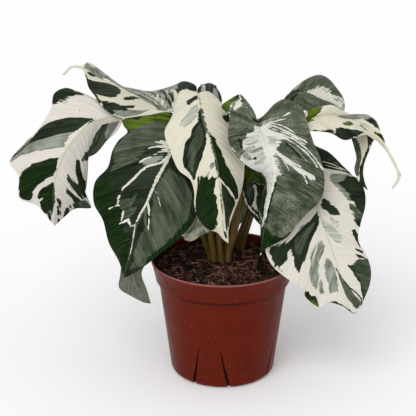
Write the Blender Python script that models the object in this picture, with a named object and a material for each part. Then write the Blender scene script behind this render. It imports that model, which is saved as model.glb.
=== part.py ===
# Potted calathea: white-splashed leaves on arching stems, in soil, in a thin plastic nursery pot.
# The origin is the centre of the pot's underside, +Z is up, and the plant is seen from -Y.
# Tables are in millimetres, and MM turns them into Blender's metres.

import math

import bmesh
import bpy
import numpy as np
from mathutils import Matrix, Vector

MM = 0.001
GAP = 0.3  # running gap between pieces that touch on the real plant
SHARP_EDGE = 30.0  # degrees above which an edge of the pot stays sharp

# The pot: a turned shell with a sloping collar, four panels between V slits, and a drained floor
POT_HEIGHT = 100.0
POT_RIM_RADIUS = 60.0
POT_WALL = 1.3
COLLAR_DEPTH = 18.0
COLLAR_FOOT_RADIUS = 55.9
BODY_TOP_RADIUS = 53.7
BODY_FOOT_RADIUS = 43.4
FOOT_ROUND = 5.0
FLOOR_LIFT = 2.0
FLOOR_THICKNESS = 1.6
FOOT_RING_INNER_RADIUS = 35.0
CENTRE_PAD_RADIUS = 11.0
LIP_CHAMFER = 0.3
LIP_CHAMFER_DEPTH = 0.6
COLLAR_STEP = 0.8  # how far the collar's foot is drawn in over its last bit of height
COLLAR_STEP_HEIGHT = 0.6
COLLAR_SHOULDER = 1.0  # height over which the body meets the collar
FOOT_ROUND_STEPS = 3
FLOOR_CORNER = 3.0  # bevel where the floor meets the wall inside
UNDERSIDE_BEVEL = 1.0
POT_SEGMENTS = 48
SLIT_PANELS = 4
SLIT_PANEL_CENTRE = -103.7  # degrees round from +X, so that one panel faces the viewer
SLIT_TOP = 37.0
SLIT_HALF_ANGLE_TOP = 11.0
SLIT_HALF_ANGLE_FOOT = 21.5
SLIT_WIDTH_FOOT = 3.4
SLIT_WIDTH_TOP = 0.5
SLIT_CUT_BELOW = 3.0  # how far the slit cutters reach below, inside and outside the wall
SLIT_CUT_INSIDE = 5.5
SLIT_CUT_OUTSIDE = 4.0
RING_ABOVE_SLITS = 4.0
DRAIN_HOLES = 8
DRAIN_HOLE_RADIUS = 3.5
DRAIN_CIRCLE_RADIUS = 23.0
DRAIN_SIDES = 10
DRAIN_CUT_BOTTOM = -5.0
DRAIN_CUT_TOP = 9.0

# The soil: a plug that fills the pot, mounded round the stems
SOIL_EDGE_BELOW_RIM = 7.0
SOIL_MOUND = 5.0
SOIL_RELIEF = 1.1
SOIL_COLLAR_INSET = 0.4
SOIL_WAVES = (  # soft lumps: strength, radians per mm along X and along Y, and phase
    (0.5, 0.23, 0.26, 1.7), (0.5, 0.23, -0.26, 0.9), (0.7, 0.17, -0.31, 2.0), (0.4, 0.47, 0.39, 0.0),
)
SOIL_FADE = 4.0  # how fast the lumps fade towards the edge and the centre
SOIL_SEGMENTS = POT_SEGMENTS  # the same facets as the pot's, so that the gap stays even
SOIL_RINGS = 7
STEM_HOLE_CLEARANCE = 0.15  # beyond the gap, for the facets of the stem
STEM_HOLE_SIDES = 8
STEM_HOLE_ABOVE = 0.5  # how far a hole's cutter runs on above the foot, as a share of the foot's length

# The stems stand this deep in plain holes in the soil
STEM_FOOT_TOP = 103.0
STEM_FOOT_BOTTOM = 78.0
STEM_FOOT_RADIUS = 2.5
STEM_TOP_RADIUS = 1.35
STEM_SIDES_RESOLUTION = 1
STEM_POINTS = 11
STEM_LEAN = 0.05  # how far a foot leans back in the soil, as a share of the way to the next point
STEM_END_BEHIND = 1.1  # the stem ends this far behind the blade's edge, and this far under the blade
STEM_END_UNDER = 0.6
STEM_APPROACH_BEHIND = 8.0  # a stem comes in line with the midrib from this far off
STEM_APPROACH_UNDER = 3.0

BLADE_THICKNESS = 0.7
KEEL_AT_BASE = 1.5
KEEL_AT_TIP = 0.15
SIDE_STATIONS = (0.0, 0.09, 0.38, 0.70, 1.0)  # shares of a side vein, from the midrib to the margin
VEIN_CROWDING = 2.0  # side veins leave the midrib closer together towards the stem's end
VEIN_LEAN = 0.38  # how far a side vein runs along the midrib before it bends out
VEIN_REACH = 0.52  # where along its way out a side vein is pulled up into the arch
LOOK_AHEAD = 0.01  # share of the midrib over which its direction is measured
RIPPLE_SHIFT = 0.3  # the two margins' ripples start this share of a wave before and after the stem's end
BLADE_SHARP_EDGE = 50.0
UPRIGHT_ROWS = slice(3, 6)  # rows near the stem's end whose upward direction the stem follows
ROWS = 16
ROWS_SMALL = 10
FINE_STEPS = 240

# One entry for each leaf. midrib: points from the stem's end to the tip. left and right: points of the
# margin on each side of the midrib, seen with the upper side up and the tip away, from beside the
# stem's end to beside the tip. bulge: how far each half arches up between the midrib and the margin.
# wave: height and number of the ripples beside the margin. foot: where the stem stands in the soil.
# stem: points on its way up.
LEAVES = {
    "far_left": dict(
        midrib=((-81, 0, 221), (-92, -6, 222), (-104, -13, 220), (-116, -18, 210), (-124, -21, 200),
            (-131, -22, 185), (-136, -20, 166), (-137, -14, 133)),
        left=((-81, -2, 218), (-85, -2, 210), (-95, 0, 200), (-103, 2, 190), (-115, 2, 183),
            (-116, 0, 177), (-112, 0, 162), (-114, -2, 152), (-108, -3, 145), (-121, -6, 145),
            (-131, -10, 138)),
        right=((-83, 4, 223), (-92, 7, 224), (-102, 13, 228), (-114, 18, 234), (-126, 18, 240),
            (-136, 12, 237), (-138, 4, 227), (-148, -4, 212), (-158, -8, 202), (-171, -10, 186),
            (-164, -14, 176), (-164, -16, 158), (-150, -16, 151), (-141, -15, 139)),
        bulge=(3, 3), wave=(1.2, 3.5), foot=(-8, 4.6),
        stem=((-17, 6, 125), (-27, 8, 162), (-48, 12, 206), (-66, 6, 218)),
    ),
    "upper_left": dict(
        midrib=((-37, 12, 224), (-49, 20, 222), (-60, 26, 225), (-68, 30, 228), (-78, 34, 232),
            (-92, 39, 238), (-103, 43, 243), (-113, 46, 248), (-120, 48, 251), (-127, 48, 250),
            (-133, 46, 244)),
        left=((-38, 9, 223), (-51, 0, 223), (-60, -3, 222), (-71, -4, 221), (-82, -6, 222),
            (-90, -6, 226), (-97, -1, 230), (-103, 8, 236), (-109, 20, 240), (-113, 35, 246),
            (-117, 44, 248), (-122, 48, 250), (-127, 48, 249), (-131, 46, 243)),
        right=((-34, 16, 225), (-26, 30, 226), (-22, 42, 230), (-23, 50, 234), (-33, 56, 236),
            (-44, 58, 231), (-61, 58, 227), (-76, 56, 230), (-86, 54, 233), (-96, 54, 241),
            (-107, 54, 250), (-115, 52, 256), (-120, 49, 252), (-127, 48, 251), (-132, 47, 245)),
        bulge=(3, 3), wave=(0.8, 3.0), foot=(-10.4, 10.2),
        stem=((-16, 16, 150), (-23, 15, 205)),
    ),
    "front_left": dict(
        midrib=((-32, -6, 221), (-36, -16, 211), (-42, -26, 198), (-52, -36, 181), (-59, -43, 164),
            (-68, -48, 147), (-73, -51, 127), (-79, -50, 103)),
        left=((-29, -6, 220), (-24, -6, 217), (-19, -12, 209), (-16, -20, 195), (-16, -26, 178),
            (-19, -30, 161), (-24, -35, 145), (-36, -41, 132), (-49, -46, 123), (-63, -49, 112),
            (-74, -50, 105)),
        right=((-34, -8, 225), (-46, -8, 227), (-58, -9, 225), (-69, -11, 224), (-80, -14, 222),
            (-79, -15, 218), (-76, -15, 213), (-83, -15, 206), (-88, -16, 198), (-92, -20, 185),
            (-102, -24, 174), (-103, -29, 158), (-96, -34, 146), (-91, -41, 129), (-83, -46, 115)),
        bulge=(3, 3), wave=(1.5, 4.0), foot=(-4.8, -0.5),
        stem=((-11, -1, 128), (-16, -1, 155), (-23, 4, 208)),
    ),
    "front": dict(
        midrib=((-20, 0, 240), (-19, -14, 239), (-16, -32, 227), (-10, -43, 213), (-6, -49, 200),
            (-4, -53, 186), (-2, -54, 170), (0, -52, 152), (3, -47, 131)),
        left=((-17, 2, 240), (-12, 6, 240), (-7, 3, 237), (-1, -3, 232), (5, -12, 227), (10, -18, 217),
            (14, -24, 204), (16, -29, 190), (15, -34, 177), (12, -39, 166), (8, -42, 156), (4, -45, 144)),
        right=((-23, 2, 239), (-27, 6, 238), (-32, 8, 241), (-36, 3, 239), (-38, -8, 233),
            (-41, -20, 226), (-46, -31, 217), (-42, -37, 205), (-35, -42, 190), (-26, -45, 183),
            (-23, -46, 173), (-23, -46, 163), (-20, -46, 152), (-13, -46, 143), (-5, -47, 140),
            (-1, -47, 135)),
        bulge=(4, 4), wave=(1.2, 4.0), foot=(-1.7, -6.2),
        stem=((-4, -3, 124), (-8, 4, 158), (-19, 13, 224)),
    ),
    "front_right": dict(
        midrib=((25, -18, 223), (29, -26, 218), (33, -35, 211), (37, -41, 200), (39, -45, 189),
            (37, -49, 176), (33, -51, 159), (31, -50, 140), (29, -48, 121)),
        left=((28, -17, 223), (34, -9, 227), (41, -4, 233), (48, -2, 236), (56, -4, 234),
            (62, -9, 230), (66, -17, 219), (71, -24, 205), (76, -28, 194), (79, -33, 179),
            (76, -38, 164), (65, -42, 154), (57, -45, 146), (50, -48, 137), (39, -50, 131),
            (32, -50, 127)),
        right=((22, -18, 222), (18, -13, 227), (14, -12, 236), (13, -14, 243), (6, -18, 241),
            (-2, -24, 236), (4, -32, 231), (3, -38, 221), (4, -42, 211), (11, -42, 200),
            (20, -38, 191), (29, -33, 184), (34, -26, 173), (31, -20, 160), (29, -21, 150),
            (31, -33, 141), (30, -42, 132)),
        bulge=(3, 3), wave=(1.5, 4.0), foot=(4.1, -6),
        stem=((8.5, -3, 124), (13, 3.5, 150), (13.5, 6, 176), (18.5, 2, 208)),
    ),
    "upper_right": dict(
        midrib=((50, 8, 228), (55, 14, 234), (62, 20, 236), (71, 26, 233), (80, 30, 229),
            (89, 33, 224), (100, 36, 215)),
        left=((48, 12, 229), (52, 26, 232), (61, 42, 232), (66, 52, 234), (73, 57, 239), (82, 58, 241),
            (89, 55, 238), (94, 50, 233), (100, 44, 225), (101, 39, 219)),
        right=((53, 6, 227), (58, 3, 227), (66, 4, 225), (74, 8, 225), (82, 14, 225), (90, 22, 222),
            (97, 31, 216)),
        bulge=(3, 3), wave=(1.0, 3.0), foot=(4.3, 4.8),
        stem=((10, 10, 119), (18, 16, 152), (30, 16, 208)),
    ),
    "right_tailed": dict(
        midrib=((63, -4, 219), (74, 2, 221), (86, 5, 221), (97, 5, 219), (108, 2, 216), (117, -3, 211),
            (125, -7, 205), (131, -10, 196), (137, -12, 186), (142, -12, 175), (136, -12, 164)),
        left=((64, -2, 223), (67, 1, 227), (77, 4, 228), (87, 6, 229), (96, 8, 224), (105, 9, 220),
            (114, 8, 221), (122, 4, 217), (126, -2, 209), (131, -8, 199), (138, -11, 187),
            (143, -12, 175), (138, -12, 165)),
        right=((64, -8, 217), (67, -14, 214), (77, -18, 214), (85, -20, 213), (95, -21, 208),
            (104, -20, 210), (112, -16, 211), (119, -12, 206), (125, -11, 202), (131, -11, 194),
            (136, -12, 184), (140, -12, 174), (135, -12, 166)),
        bulge=(2, 2), wave=(0.8, 3.0), foot=(12.3, 28.5),
        stem=((19.4, 27.6, 123), (28, 20, 156), (45, 4, 206)),
    ),
    "lower_right": dict(
        midrib=((65, -6, 173), (70, -14, 164), (75, -22, 153), (80, -31, 139), (85, -38, 126),
            (90, -43, 112), (95, -47, 99), (110, -50, 77)),
        left=((69, -3, 175), (76, 1, 178), (87, 2, 176), (99, -3, 175), (110, -9, 170),
            (114, -14, 161), (114, -18, 151), (110, -24, 138), (108, -31, 127), (114, -36, 117),
            (118, -40, 105), (117, -44, 94), (111, -49, 80)),
        right=((62, -8, 171), (54, -16, 164), (46, -26, 154), (39, -34, 144), (34, -40, 134),
            (33, -45, 124), (38, -48, 113), (49, -50, 103), (62, -52, 95), (66, -52, 86),
            (77, -52, 78), (83, -52, 82), (95, -52, 79), (105, -51, 72)),
        bulge=(3, 3), wave=(1.5, 4.0), foot=(16.6, 25),
        stem=((22, 22, 126), (32, 14, 152), (50, 6, 173)),
    ),
    "inner_young": dict(
        midrib=((22, 8, 184), (25, 2, 170), (27, -2, 156), (28, -5, 145), (33, -6, 128)),
        left=((25, 8, 184), (32, 4, 177), (37, 0, 165), (37, -2, 153), (35, -5, 142)),
        right=((19, 8, 182), (16, 4, 170), (16, 1, 157), (19, -3, 146), (26, -6, 136)),
        bulge=(2, 2), wave=(0.5, 3.0), foot=(1.2, -0.6),
        stem=((10.5, 5, 126), (17.5, 10, 152), (19.5, 11.5, 182)), rows=ROWS_SMALL,
    ),
    "low_left": dict(
        midrib=((-57, -20, 159), (-64, -28, 142), (-69, -34, 124), (-73, -38, 108), (-70, -38, 90),
            (-59, -34, 73)),
        left=((-61, -20, 158), (-72, -24, 145), (-79, -31, 129), (-81, -36, 114), (-83, -39, 99),
            (-84, -39, 89), (-74, -38, 81), (-65, -36, 75)),
        right=((-54, -20, 158), (-49, -24, 144), (-53, -29, 127), (-61, -34, 111), (-66, -36, 100),
            (-62, -36, 86)),
        bulge=(2, 2), wave=(1.0, 3.0), foot=(-10.7, -0.9),
        stem=((-22, -6, 132), (-48, -14, 164)),
    ),
    "right_hanging": dict(
        midrib=((111, 6, 210), (112, 0, 200), (111, -6, 190), (109, -12, 181), (110, -17, 173),
            (115, -20, 166)),
        left=((115, 8, 209), (122, 6, 204), (119, 2, 195), (115, -4, 188), (112, -10, 179),
            (113, -16, 171)),
        right=((108, 6, 209), (103, 4, 206), (105, 0, 197), (107, -6, 188), (105, -12, 180),
            (109, -18, 171)),
        bulge=(2, 2), wave=(0.4, 3.0), foot=(13.2, 34.5),
        stem=((21.5, 36.5, 124), (31, 32, 159), (44, 26, 203), (70, 15, 214), (96, 10, 212)), rows=ROWS_SMALL,
    ),
    "behind_right": dict(
        midrib=((50, 18, 196), (64, 22, 185), (78, 24, 170), (90, 23, 155), (98, 19, 138),
            (101, 12, 121)),
        left=((53, 22, 197), (64, 27, 196), (78, 30, 187), (88, 30, 182), (99, 27, 172),
            (109, 22, 162), (112, 18, 148), (108, 14, 133)),
        right=((48, 16, 193), (46, 15, 182), (50, 16, 166), (61, 16, 148), (74, 14, 133), (90, 12, 123)),
        bulge=(3, 3), wave=(1.0, 3.5), foot=(18.2, 31),
        stem=((25.5, 29, 129), (33, 26, 159), (36, 21, 188)),
    ),
    "low_inner": dict(
        midrib=((-14, -14, 155), (-19, -19, 145), (-24, -23, 135), (-31, -25, 125)),
        left=((-17, -14, 155), (-27, -17, 149), (-33, -21, 139), (-33, -24, 131)),
        right=((-11, -14, 153), (-8, -17, 144), (-9, -20, 133), (-18, -23, 128), (-26, -25, 124)),
        bulge=(2, 2), wave=(0.5, 3.0), foot=(-7.5, -6.2),
        stem=((-11, -9, 128),), rows=ROWS_SMALL,
    ),
    "back_top": dict(
        midrib=((-11, 22, 214), (-11, 28, 226), (-11, 40, 234), (-11, 54, 235), (-11, 72, 225),
            (-11, 90, 200)),
        left=((-14, 22, 215), (-18, 24, 222), (-21, 32, 229), (-21, 42, 233), (-18, 52, 234),
            (-18, 64, 231), (-17, 80, 215), (-14, 88, 202)),
        right=((-8, 22, 215), (-3, 24, 222), (-1, 30, 225), (-2, 40, 229), (-6, 50, 233),
            (-6, 64, 230), (-6, 80, 214), (-7, 88, 202)),
        bulge=(3, 3), wave=(1.0, 3.5), foot=(-1.7, 4.8),
        stem=((-5, 14, 150),),
    ),
    "back_left": dict(
        midrib=((-34, 40, 186), (-48, 54, 190), (-62, 68, 182), (-72, 78, 162), (-76, 82, 136),
            (-74, 82, 116)),
        left=((-37, 37, 186), (-46, 36, 188), (-62, 42, 186), (-80, 52, 176), (-94, 64, 156),
            (-96, 72, 136), (-86, 79, 120)),
        right=((-31, 43, 187), (-30, 54, 190), (-36, 76, 186), (-48, 96, 168), (-58, 102, 144),
            (-68, 94, 124)),
        bulge=(3, 3), wave=(1.5, 4.0), foot=(-4.6, 10.6),
        stem=((-13, 26, 140),),
    ),
    "back_right": dict(
        midrib=((36, 44, 180), (48, 60, 184), (60, 76, 176), (68, 88, 154), (70, 92, 128), (68, 90, 106)),
        left=((33, 46, 181), (28, 60, 186), (30, 84, 182), (44, 102, 164), (54, 110, 138),
            (62, 102, 116)),
        right=((39, 42, 179), (52, 42, 182), (74, 54, 176), (90, 72, 156), (94, 84, 130), (82, 90, 112)),
        bulge=(3, 3), wave=(1.5, 4.0), foot=(5, 16.2),
        stem=((9, 32, 140),),
    ),
    "back_middle": dict(
        midrib=((10, 40, 186), (10, 56, 193), (9, 74, 190), (8, 90, 176), (7, 98, 156), (6, 100, 138)),
        left=((6, 40, 186), (-5, 44, 188), (-21, 58, 186), (-22, 78, 180), (-12, 94, 164),
            (-2, 100, 147)),
        right=((14, 40, 186), (21, 42, 192), (29, 56, 196), (29, 74, 190), (22, 92, 172), (14, 99, 150)),
        bulge=(3, 3), wave=(1.5, 4.0), foot=(1.2, 10.4),
        stem=((2, 22, 150),),
    ),
    "back_low": dict(
        midrib=((-4, 56, 150), (-6, 72, 152), (-8, 88, 142), (-9, 96, 122), (-8, 98, 100), (-6, 94, 80)),
        left=((-8, 55, 150), (-20, 58, 154), (-36, 72, 150), (-44, 88, 132), (-40, 98, 108),
            (-22, 98, 88)),
        right=((0, 55, 150), (12, 58, 154), (28, 72, 150), (34, 88, 132), (30, 98, 108), (12, 98, 88)),
        bulge=(3, 3), wave=(1.5, 4.0), foot=(-1.5, 16),
        stem=((-2, 34, 130),),
    ),
}


def clear_scene():
    for leftover in list(bpy.data.objects):
        bpy.data.objects.remove(leftover, do_unlink=True)


def make_material(name, colour, roughness):
    material = bpy.data.materials.new(name)
    material.use_nodes = True
    shader = material.node_tree.nodes["Principled BSDF"]
    shader.inputs["Base Color"].default_value = (*colour, 1.0)
    shader.inputs["Roughness"].default_value = roughness
    shader.inputs["Metallic"].default_value = 0.0
    material.diffuse_color = (*colour, 1.0)
    return material


def add_object(name, points_mm, faces, material):
    mesh = bpy.data.meshes.new(name)
    mesh.from_pydata([tuple(float(c) * MM for c in p) for p in points_mm], [], faces)
    mesh.validate()
    mesh.materials.append(material)
    piece = bpy.data.objects.new(name, mesh)
    bpy.context.scene.collection.objects.link(piece)
    return piece


def smooth_curve(points, steps):
    """A Catmull-Rom curve through the points, resampled at even arc length."""
    points = np.array(points, float)
    chord = np.linalg.norm(np.diff(points, axis=0), axis=1)
    knots = np.concatenate([[0.0], np.cumsum(np.sqrt(chord))])
    tangents = np.gradient(points, knots, axis=0)
    at = np.linspace(0.0, knots[-1], FINE_STEPS)
    span = np.clip(np.searchsorted(knots, at, side="right") - 1, 0, len(knots) - 2)
    width = (knots[span + 1] - knots[span])[:, None]
    u = ((at - knots[span]) / width[:, 0])[:, None]
    curve = (
        (2 * u**3 - 3 * u**2 + 1) * points[span]
        + (u**3 - 2 * u**2 + u) * width * tangents[span]
        + (3 * u**2 - 2 * u**3) * points[span + 1]
        + (u**3 - u**2) * width * tangents[span + 1]
    )
    run = np.concatenate([[0.0], np.cumsum(np.linalg.norm(np.diff(curve, axis=0), axis=1))])
    even = np.asarray(steps) * run[-1] if np.ndim(steps) else np.linspace(0.0, run[-1], steps)
    return np.stack([np.interp(even, run, curve[:, k]) for k in range(3)], axis=1)


def unit(vectors):
    return vectors / np.linalg.norm(vectors, axis=-1, keepdims=True)


def blade_grid(leaf):
    """The blade's middle surface: rows of points along the side veins, from the right margin to the
    left one. It also returns the tip, and the forward and upward directions at the stem's end."""
    rows = leaf.get("rows", ROWS)
    share = np.arange(rows) / rows
    rib = smooth_curve(leaf["midrib"], share**VEIN_CROWDING)
    ahead = smooth_curve(leaf["midrib"], share**VEIN_CROWDING + LOOK_AHEAD)
    forward = unit(ahead - rib)
    tip = np.array(leaf["midrib"][-1], float)
    height, waves = leaf["wave"]
    halves, upward = [], []
    for name, side in (("right", -1), ("left", 1)):
        margin = smooth_curve([*leaf[name], tip], share)
        out = margin - rib
        up = unit(np.cross(forward, out)) * side
        along = (out * forward).sum(1, keepdims=True)
        across = out - along * forward
        reach = np.linalg.norm(across, axis=1, keepdims=True)
        arch = 2 * leaf["bulge"][side > 0] * (reach / reach.max())
        lean = VEIN_LEAN * np.maximum(along, 0.0) * forward
        control = rib + VEIN_REACH * across + lean + arch * up
        ripple = height * np.sin(math.tau * (waves * share + RIPPLE_SHIFT * side))[:, None] * up
        half = []
        for t in SIDE_STATIONS:
            vein = (1 - t) ** 2 * rib + 2 * t * (1 - t) * control + t**2 * margin
            half.append(vein + 3 * t**2 * (1 - t) * ripple)
        halves.append(half)
        upward.append(up[UPRIGHT_ROWS].mean(0))
    columns = halves[0][:0:-1] + halves[1]
    return np.stack(columns, axis=1), tip, share**VEIN_CROWDING, forward[0], unit(upward[0] + upward[1])


def vertex_normals(points, triangles):
    corners = points[triangles]
    face_normals = np.cross(corners[:, 1] - corners[:, 0], corners[:, 2] - corners[:, 0])
    normals = np.zeros_like(points)
    for corner in range(3):
        np.add.at(normals, triangles[:, corner], face_normals)
    return unit(normals)


def make_blade(name, leaf, material):
    """A closed thin solid, split into triangles alike on both faces, with a keel under the midrib."""
    grid, tip, midrib_shares, _, _ = blade_grid(leaf)
    rows, columns = grid.shape[:2]
    points = np.concatenate([grid.reshape(-1, 3), tip[None]])
    tip_index = len(points) - 1

    def index(row, column):
        return row * columns + column

    triangles = []
    for row in range(rows - 1):
        for column in range(columns - 1):
            a, b = index(row, column), index(row + 1, column)
            c, d = index(row + 1, column + 1), index(row, column + 1)
            if np.linalg.norm(points[a] - points[c]) <= np.linalg.norm(points[b] - points[d]):
                triangles += [(a, b, c), (a, c, d)]
            else:
                triangles += [(a, b, d), (b, c, d)]
    for column in range(columns - 1):
        triangles.append((index(rows - 1, column), tip_index, index(rows - 1, column + 1)))
    triangles = np.array(triangles)
    normals = vertex_normals(points, triangles)
    keel = np.zeros(len(points))
    for row in range(rows):
        share = midrib_shares[row]
        keel[index(row, columns // 2)] = KEEL_AT_BASE * (1 - share) + KEEL_AT_TIP * share
    keel[tip_index] = KEEL_AT_TIP
    upper = points + normals * BLADE_THICKNESS / 2
    lower = points - normals * (BLADE_THICKNESS / 2 + keel)[:, None]
    count = len(points)
    border = (
        [index(0, column) for column in range(columns)]
        + [index(row, columns - 1) for row in range(1, rows)]
        + [tip_index]
        + [index(row, 0) for row in range(rows - 1, 0, -1)]
    )
    faces = [tuple(t) for t in triangles] + [tuple(count + i for i in t[::-1]) for t in triangles]
    for first, second in zip(border, border[1:] + border[:1]):
        faces += [(first, second, count + second), (first, count + second, count + first)]
    blade = add_object(name, np.concatenate([upper, lower]), faces, material)
    blade.data.shade_smooth()
    blade.data.set_sharp_from_angle(angle=math.radians(BLADE_SHARP_EDGE))
    return blade


def stem_path(leaf):
    """From the foot in the soil up to the blade, which it meets from below, in line with the midrib."""
    _, _, _, forward, upward = blade_grid(leaf)
    base = np.array(leaf["midrib"][0], float)
    end = base - forward * STEM_END_BEHIND - upward * STEM_END_UNDER
    approach = end - forward * STEM_APPROACH_BEHIND - upward * STEM_APPROACH_UNDER
    foot = np.array([*leaf["foot"], STEM_FOOT_TOP], float)
    lean = (np.array(leaf["stem"][0], float) - foot)[:2] * STEM_LEAN
    bottom = np.array([*(foot[:2] - lean), STEM_FOOT_BOTTOM])
    rising = smooth_curve([foot, *leaf["stem"], approach, end], STEM_POINTS)
    return bottom, foot, rising


def make_stem(name, leaf, material):
    bottom, _, rising = stem_path(leaf)
    path = [bottom, *rising]
    curve = bpy.data.curves.new(name, "CURVE")
    curve.dimensions = "3D"
    curve.bevel_depth = STEM_FOOT_RADIUS * MM
    curve.bevel_resolution = STEM_SIDES_RESOLUTION
    curve.use_fill_caps = True
    curve.materials.append(material)
    spline = curve.splines.new("POLY")
    spline.points.add(len(path) - 1)
    taper = STEM_TOP_RADIUS / STEM_FOOT_RADIUS
    for number, (point, place) in enumerate(zip(spline.points, path)):
        point.co = (*(place * MM), 1.0)
        share = max(0, number - 1) / (len(path) - 2)
        point.radius = 1 + (taper - 1) * share
    stem = bpy.data.objects.new(name, curve)
    bpy.context.scene.collection.objects.link(stem)
    return stem


def pot_outside(height):
    """Radius of the outside at a height."""
    if height >= POT_HEIGHT - COLLAR_DEPTH:
        share = (height - POT_HEIGHT + COLLAR_DEPTH) / COLLAR_DEPTH
        return COLLAR_FOOT_RADIUS + (POT_RIM_RADIUS - COLLAR_FOOT_RADIUS) * share
    share = height / (POT_HEIGHT - COLLAR_DEPTH)
    return BODY_FOOT_RADIUS + (BODY_TOP_RADIUS - BODY_FOOT_RADIUS) * share


def pot_profile():
    """The shell's section, as (radius, height), down the outside, over the foot and back up inside."""
    collar_foot = POT_HEIGHT - COLLAR_DEPTH
    outside = [
        (POT_RIM_RADIUS - LIP_CHAMFER, POT_HEIGHT),
        (POT_RIM_RADIUS, POT_HEIGHT - LIP_CHAMFER_DEPTH),
        (COLLAR_FOOT_RADIUS, collar_foot + COLLAR_STEP_HEIGHT),
        (COLLAR_FOOT_RADIUS - COLLAR_STEP, collar_foot),
        (BODY_TOP_RADIUS, collar_foot - COLLAR_SHOULDER),
        (pot_outside(SLIT_TOP + RING_ABOVE_SLITS), SLIT_TOP + RING_ABOVE_SLITS),
    ]
    for step in range(FOOT_ROUND_STEPS + 1):
        angle = math.radians(90 * step / FOOT_ROUND_STEPS)
        outside.append(
            (
                pot_outside(FOOT_ROUND) - FOOT_ROUND * (1 - math.cos(angle)),
                FOOT_ROUND * (1 - math.sin(angle)),
            )
        )
    underside = [
        (FOOT_RING_INNER_RADIUS + UNDERSIDE_BEVEL, 0.0),
        (FOOT_RING_INNER_RADIUS, FLOOR_LIFT),
        (CENTRE_PAD_RADIUS + UNDERSIDE_BEVEL, FLOOR_LIFT),
        (CENTRE_PAD_RADIUS, 0.0),
    ]
    floor_top = FLOOR_LIFT + FLOOR_THICKNESS
    inside = [
        (pot_outside(floor_top) - POT_WALL - FLOOR_CORNER, floor_top),
        (pot_outside(floor_top + FLOOR_CORNER) - POT_WALL, floor_top + FLOOR_CORNER),
        (BODY_TOP_RADIUS - POT_WALL, collar_foot - COLLAR_SHOULDER + POT_WALL),
        (COLLAR_FOOT_RADIUS - POT_WALL, collar_foot + POT_WALL),
        (POT_RIM_RADIUS - POT_WALL, POT_HEIGHT - LIP_CHAMFER),
        (POT_RIM_RADIUS - POT_WALL + LIP_CHAMFER, POT_HEIGHT),
    ]
    return outside + underside, inside, floor_top


def lathe(profile_sides, segments, bottom_centre, top_centre):
    """Turns a closed section about Z. The two centres close it on the axis."""
    points, faces = [], []
    ring_count = len(profile_sides)
    for radius, height in profile_sides:
        for segment in range(segments):
            angle = math.tau * segment / segments
            points.append((radius * math.cos(angle), radius * math.sin(angle), height))
    for ring in range(ring_count - 1):
        for segment in range(segments):
            following = (segment + 1) % segments
            a, b = ring * segments + segment, ring * segments + following
            faces.append((a, a + segments, b + segments, b))
    bottom, top = len(points), len(points) + 1
    points += [(0.0, 0.0, bottom_centre), (0.0, 0.0, top_centre)]
    last = (ring_count - 1) * segments
    for segment in range(segments):
        following = (segment + 1) % segments
        faces.append((top, segment, following))
        faces.append((bottom, last + following, last + segment))
    return points, faces


def make_pot(material):
    outside, inside, floor_top = pot_profile()
    # The rings run from the floor's top centre up the inside, over the rim and down the outside
    rings = inside + outside
    points, faces = lathe(rings, POT_SEGMENTS, 0.0, floor_top)
    pot = add_object("pot", points, faces, material)
    cutters = bpy.data.collections.new("pot_cutters")
    bpy.context.scene.collection.children.link(cutters)
    for panel in range(SLIT_PANELS):
        centre = SLIT_PANEL_CENTRE + 360 * panel / SLIT_PANELS
        for side in (-1, 1):
            cutters.objects.link(slit_cutter(f"slit_cutter_{panel}_{side}", centre, side))
    for hole in range(DRAIN_HOLES):
        angle = math.tau * (hole + 0.5) / DRAIN_HOLES
        place = (DRAIN_CIRCLE_RADIUS * math.cos(angle), DRAIN_CIRCLE_RADIUS * math.sin(angle))
        start, end = (*place, DRAIN_CUT_BOTTOM), (*place, DRAIN_CUT_TOP)
        drain = round_cutter(f"drain_cutter_{hole}", start, end, DRAIN_HOLE_RADIUS, DRAIN_SIDES)
        cutters.objects.link(drain)
    hide_cutters(cutters)
    cut_with(pot, cutters)
    pot.data.shade_smooth()
    pot.data.set_sharp_from_angle(angle=math.radians(SHARP_EDGE))
    return pot


def slit_cutter(name, panel_centre, side):
    """A thin wedge through the wall that opens downwards and leans away from its panel."""
    corners = []
    for height, half_angle, width in (
        (-SLIT_CUT_BELOW, SLIT_HALF_ANGLE_FOOT, SLIT_WIDTH_FOOT),
        (SLIT_TOP, SLIT_HALF_ANGLE_TOP, SLIT_WIDTH_TOP),
    ):
        angle = math.radians(panel_centre + side * half_angle)
        outward = np.array([math.cos(angle), math.sin(angle), 0.0])
        sideways = np.array([-math.sin(angle), math.cos(angle), 0.0])
        reach = pot_outside(max(height, 0.0))
        for radius in (reach - SLIT_CUT_INSIDE, reach + SLIT_CUT_OUTSIDE):
            for half in (-width / 2, width / 2):
                corners.append(outward * radius + sideways * half + np.array([0.0, 0.0, height]))
    faces = [(0, 2, 3, 1), (4, 5, 7, 6), (0, 1, 5, 4), (2, 6, 7, 3), (0, 4, 6, 2), (1, 3, 7, 5)]
    mesh = bpy.data.meshes.new(name)
    mesh.from_pydata([tuple(c * MM) for c in corners], [], faces)
    fix_normals(mesh)
    return bpy.data.objects.new(name, mesh)


def round_cutter(name, start, end, radius, sides):
    """A cylinder from start to end."""
    start, end = Vector(start) * MM, Vector(end) * MM
    mesh = bpy.data.meshes.new(name)
    working = bmesh.new()
    turn = Vector((0, 0, 1)).rotation_difference(end - start).to_matrix().to_4x4()
    bmesh.ops.create_cone(
        working, cap_ends=True, segments=sides, radius1=radius * MM, radius2=radius * MM,
        depth=(end - start).length, matrix=Matrix.Translation((start + end) / 2) @ turn,
    )
    working.to_mesh(mesh)
    working.free()
    return bpy.data.objects.new(name, mesh)


def fix_normals(mesh):
    working = bmesh.new()
    working.from_mesh(mesh)
    bmesh.ops.recalc_face_normals(working, faces=working.faces)
    working.to_mesh(mesh)
    working.free()


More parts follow.
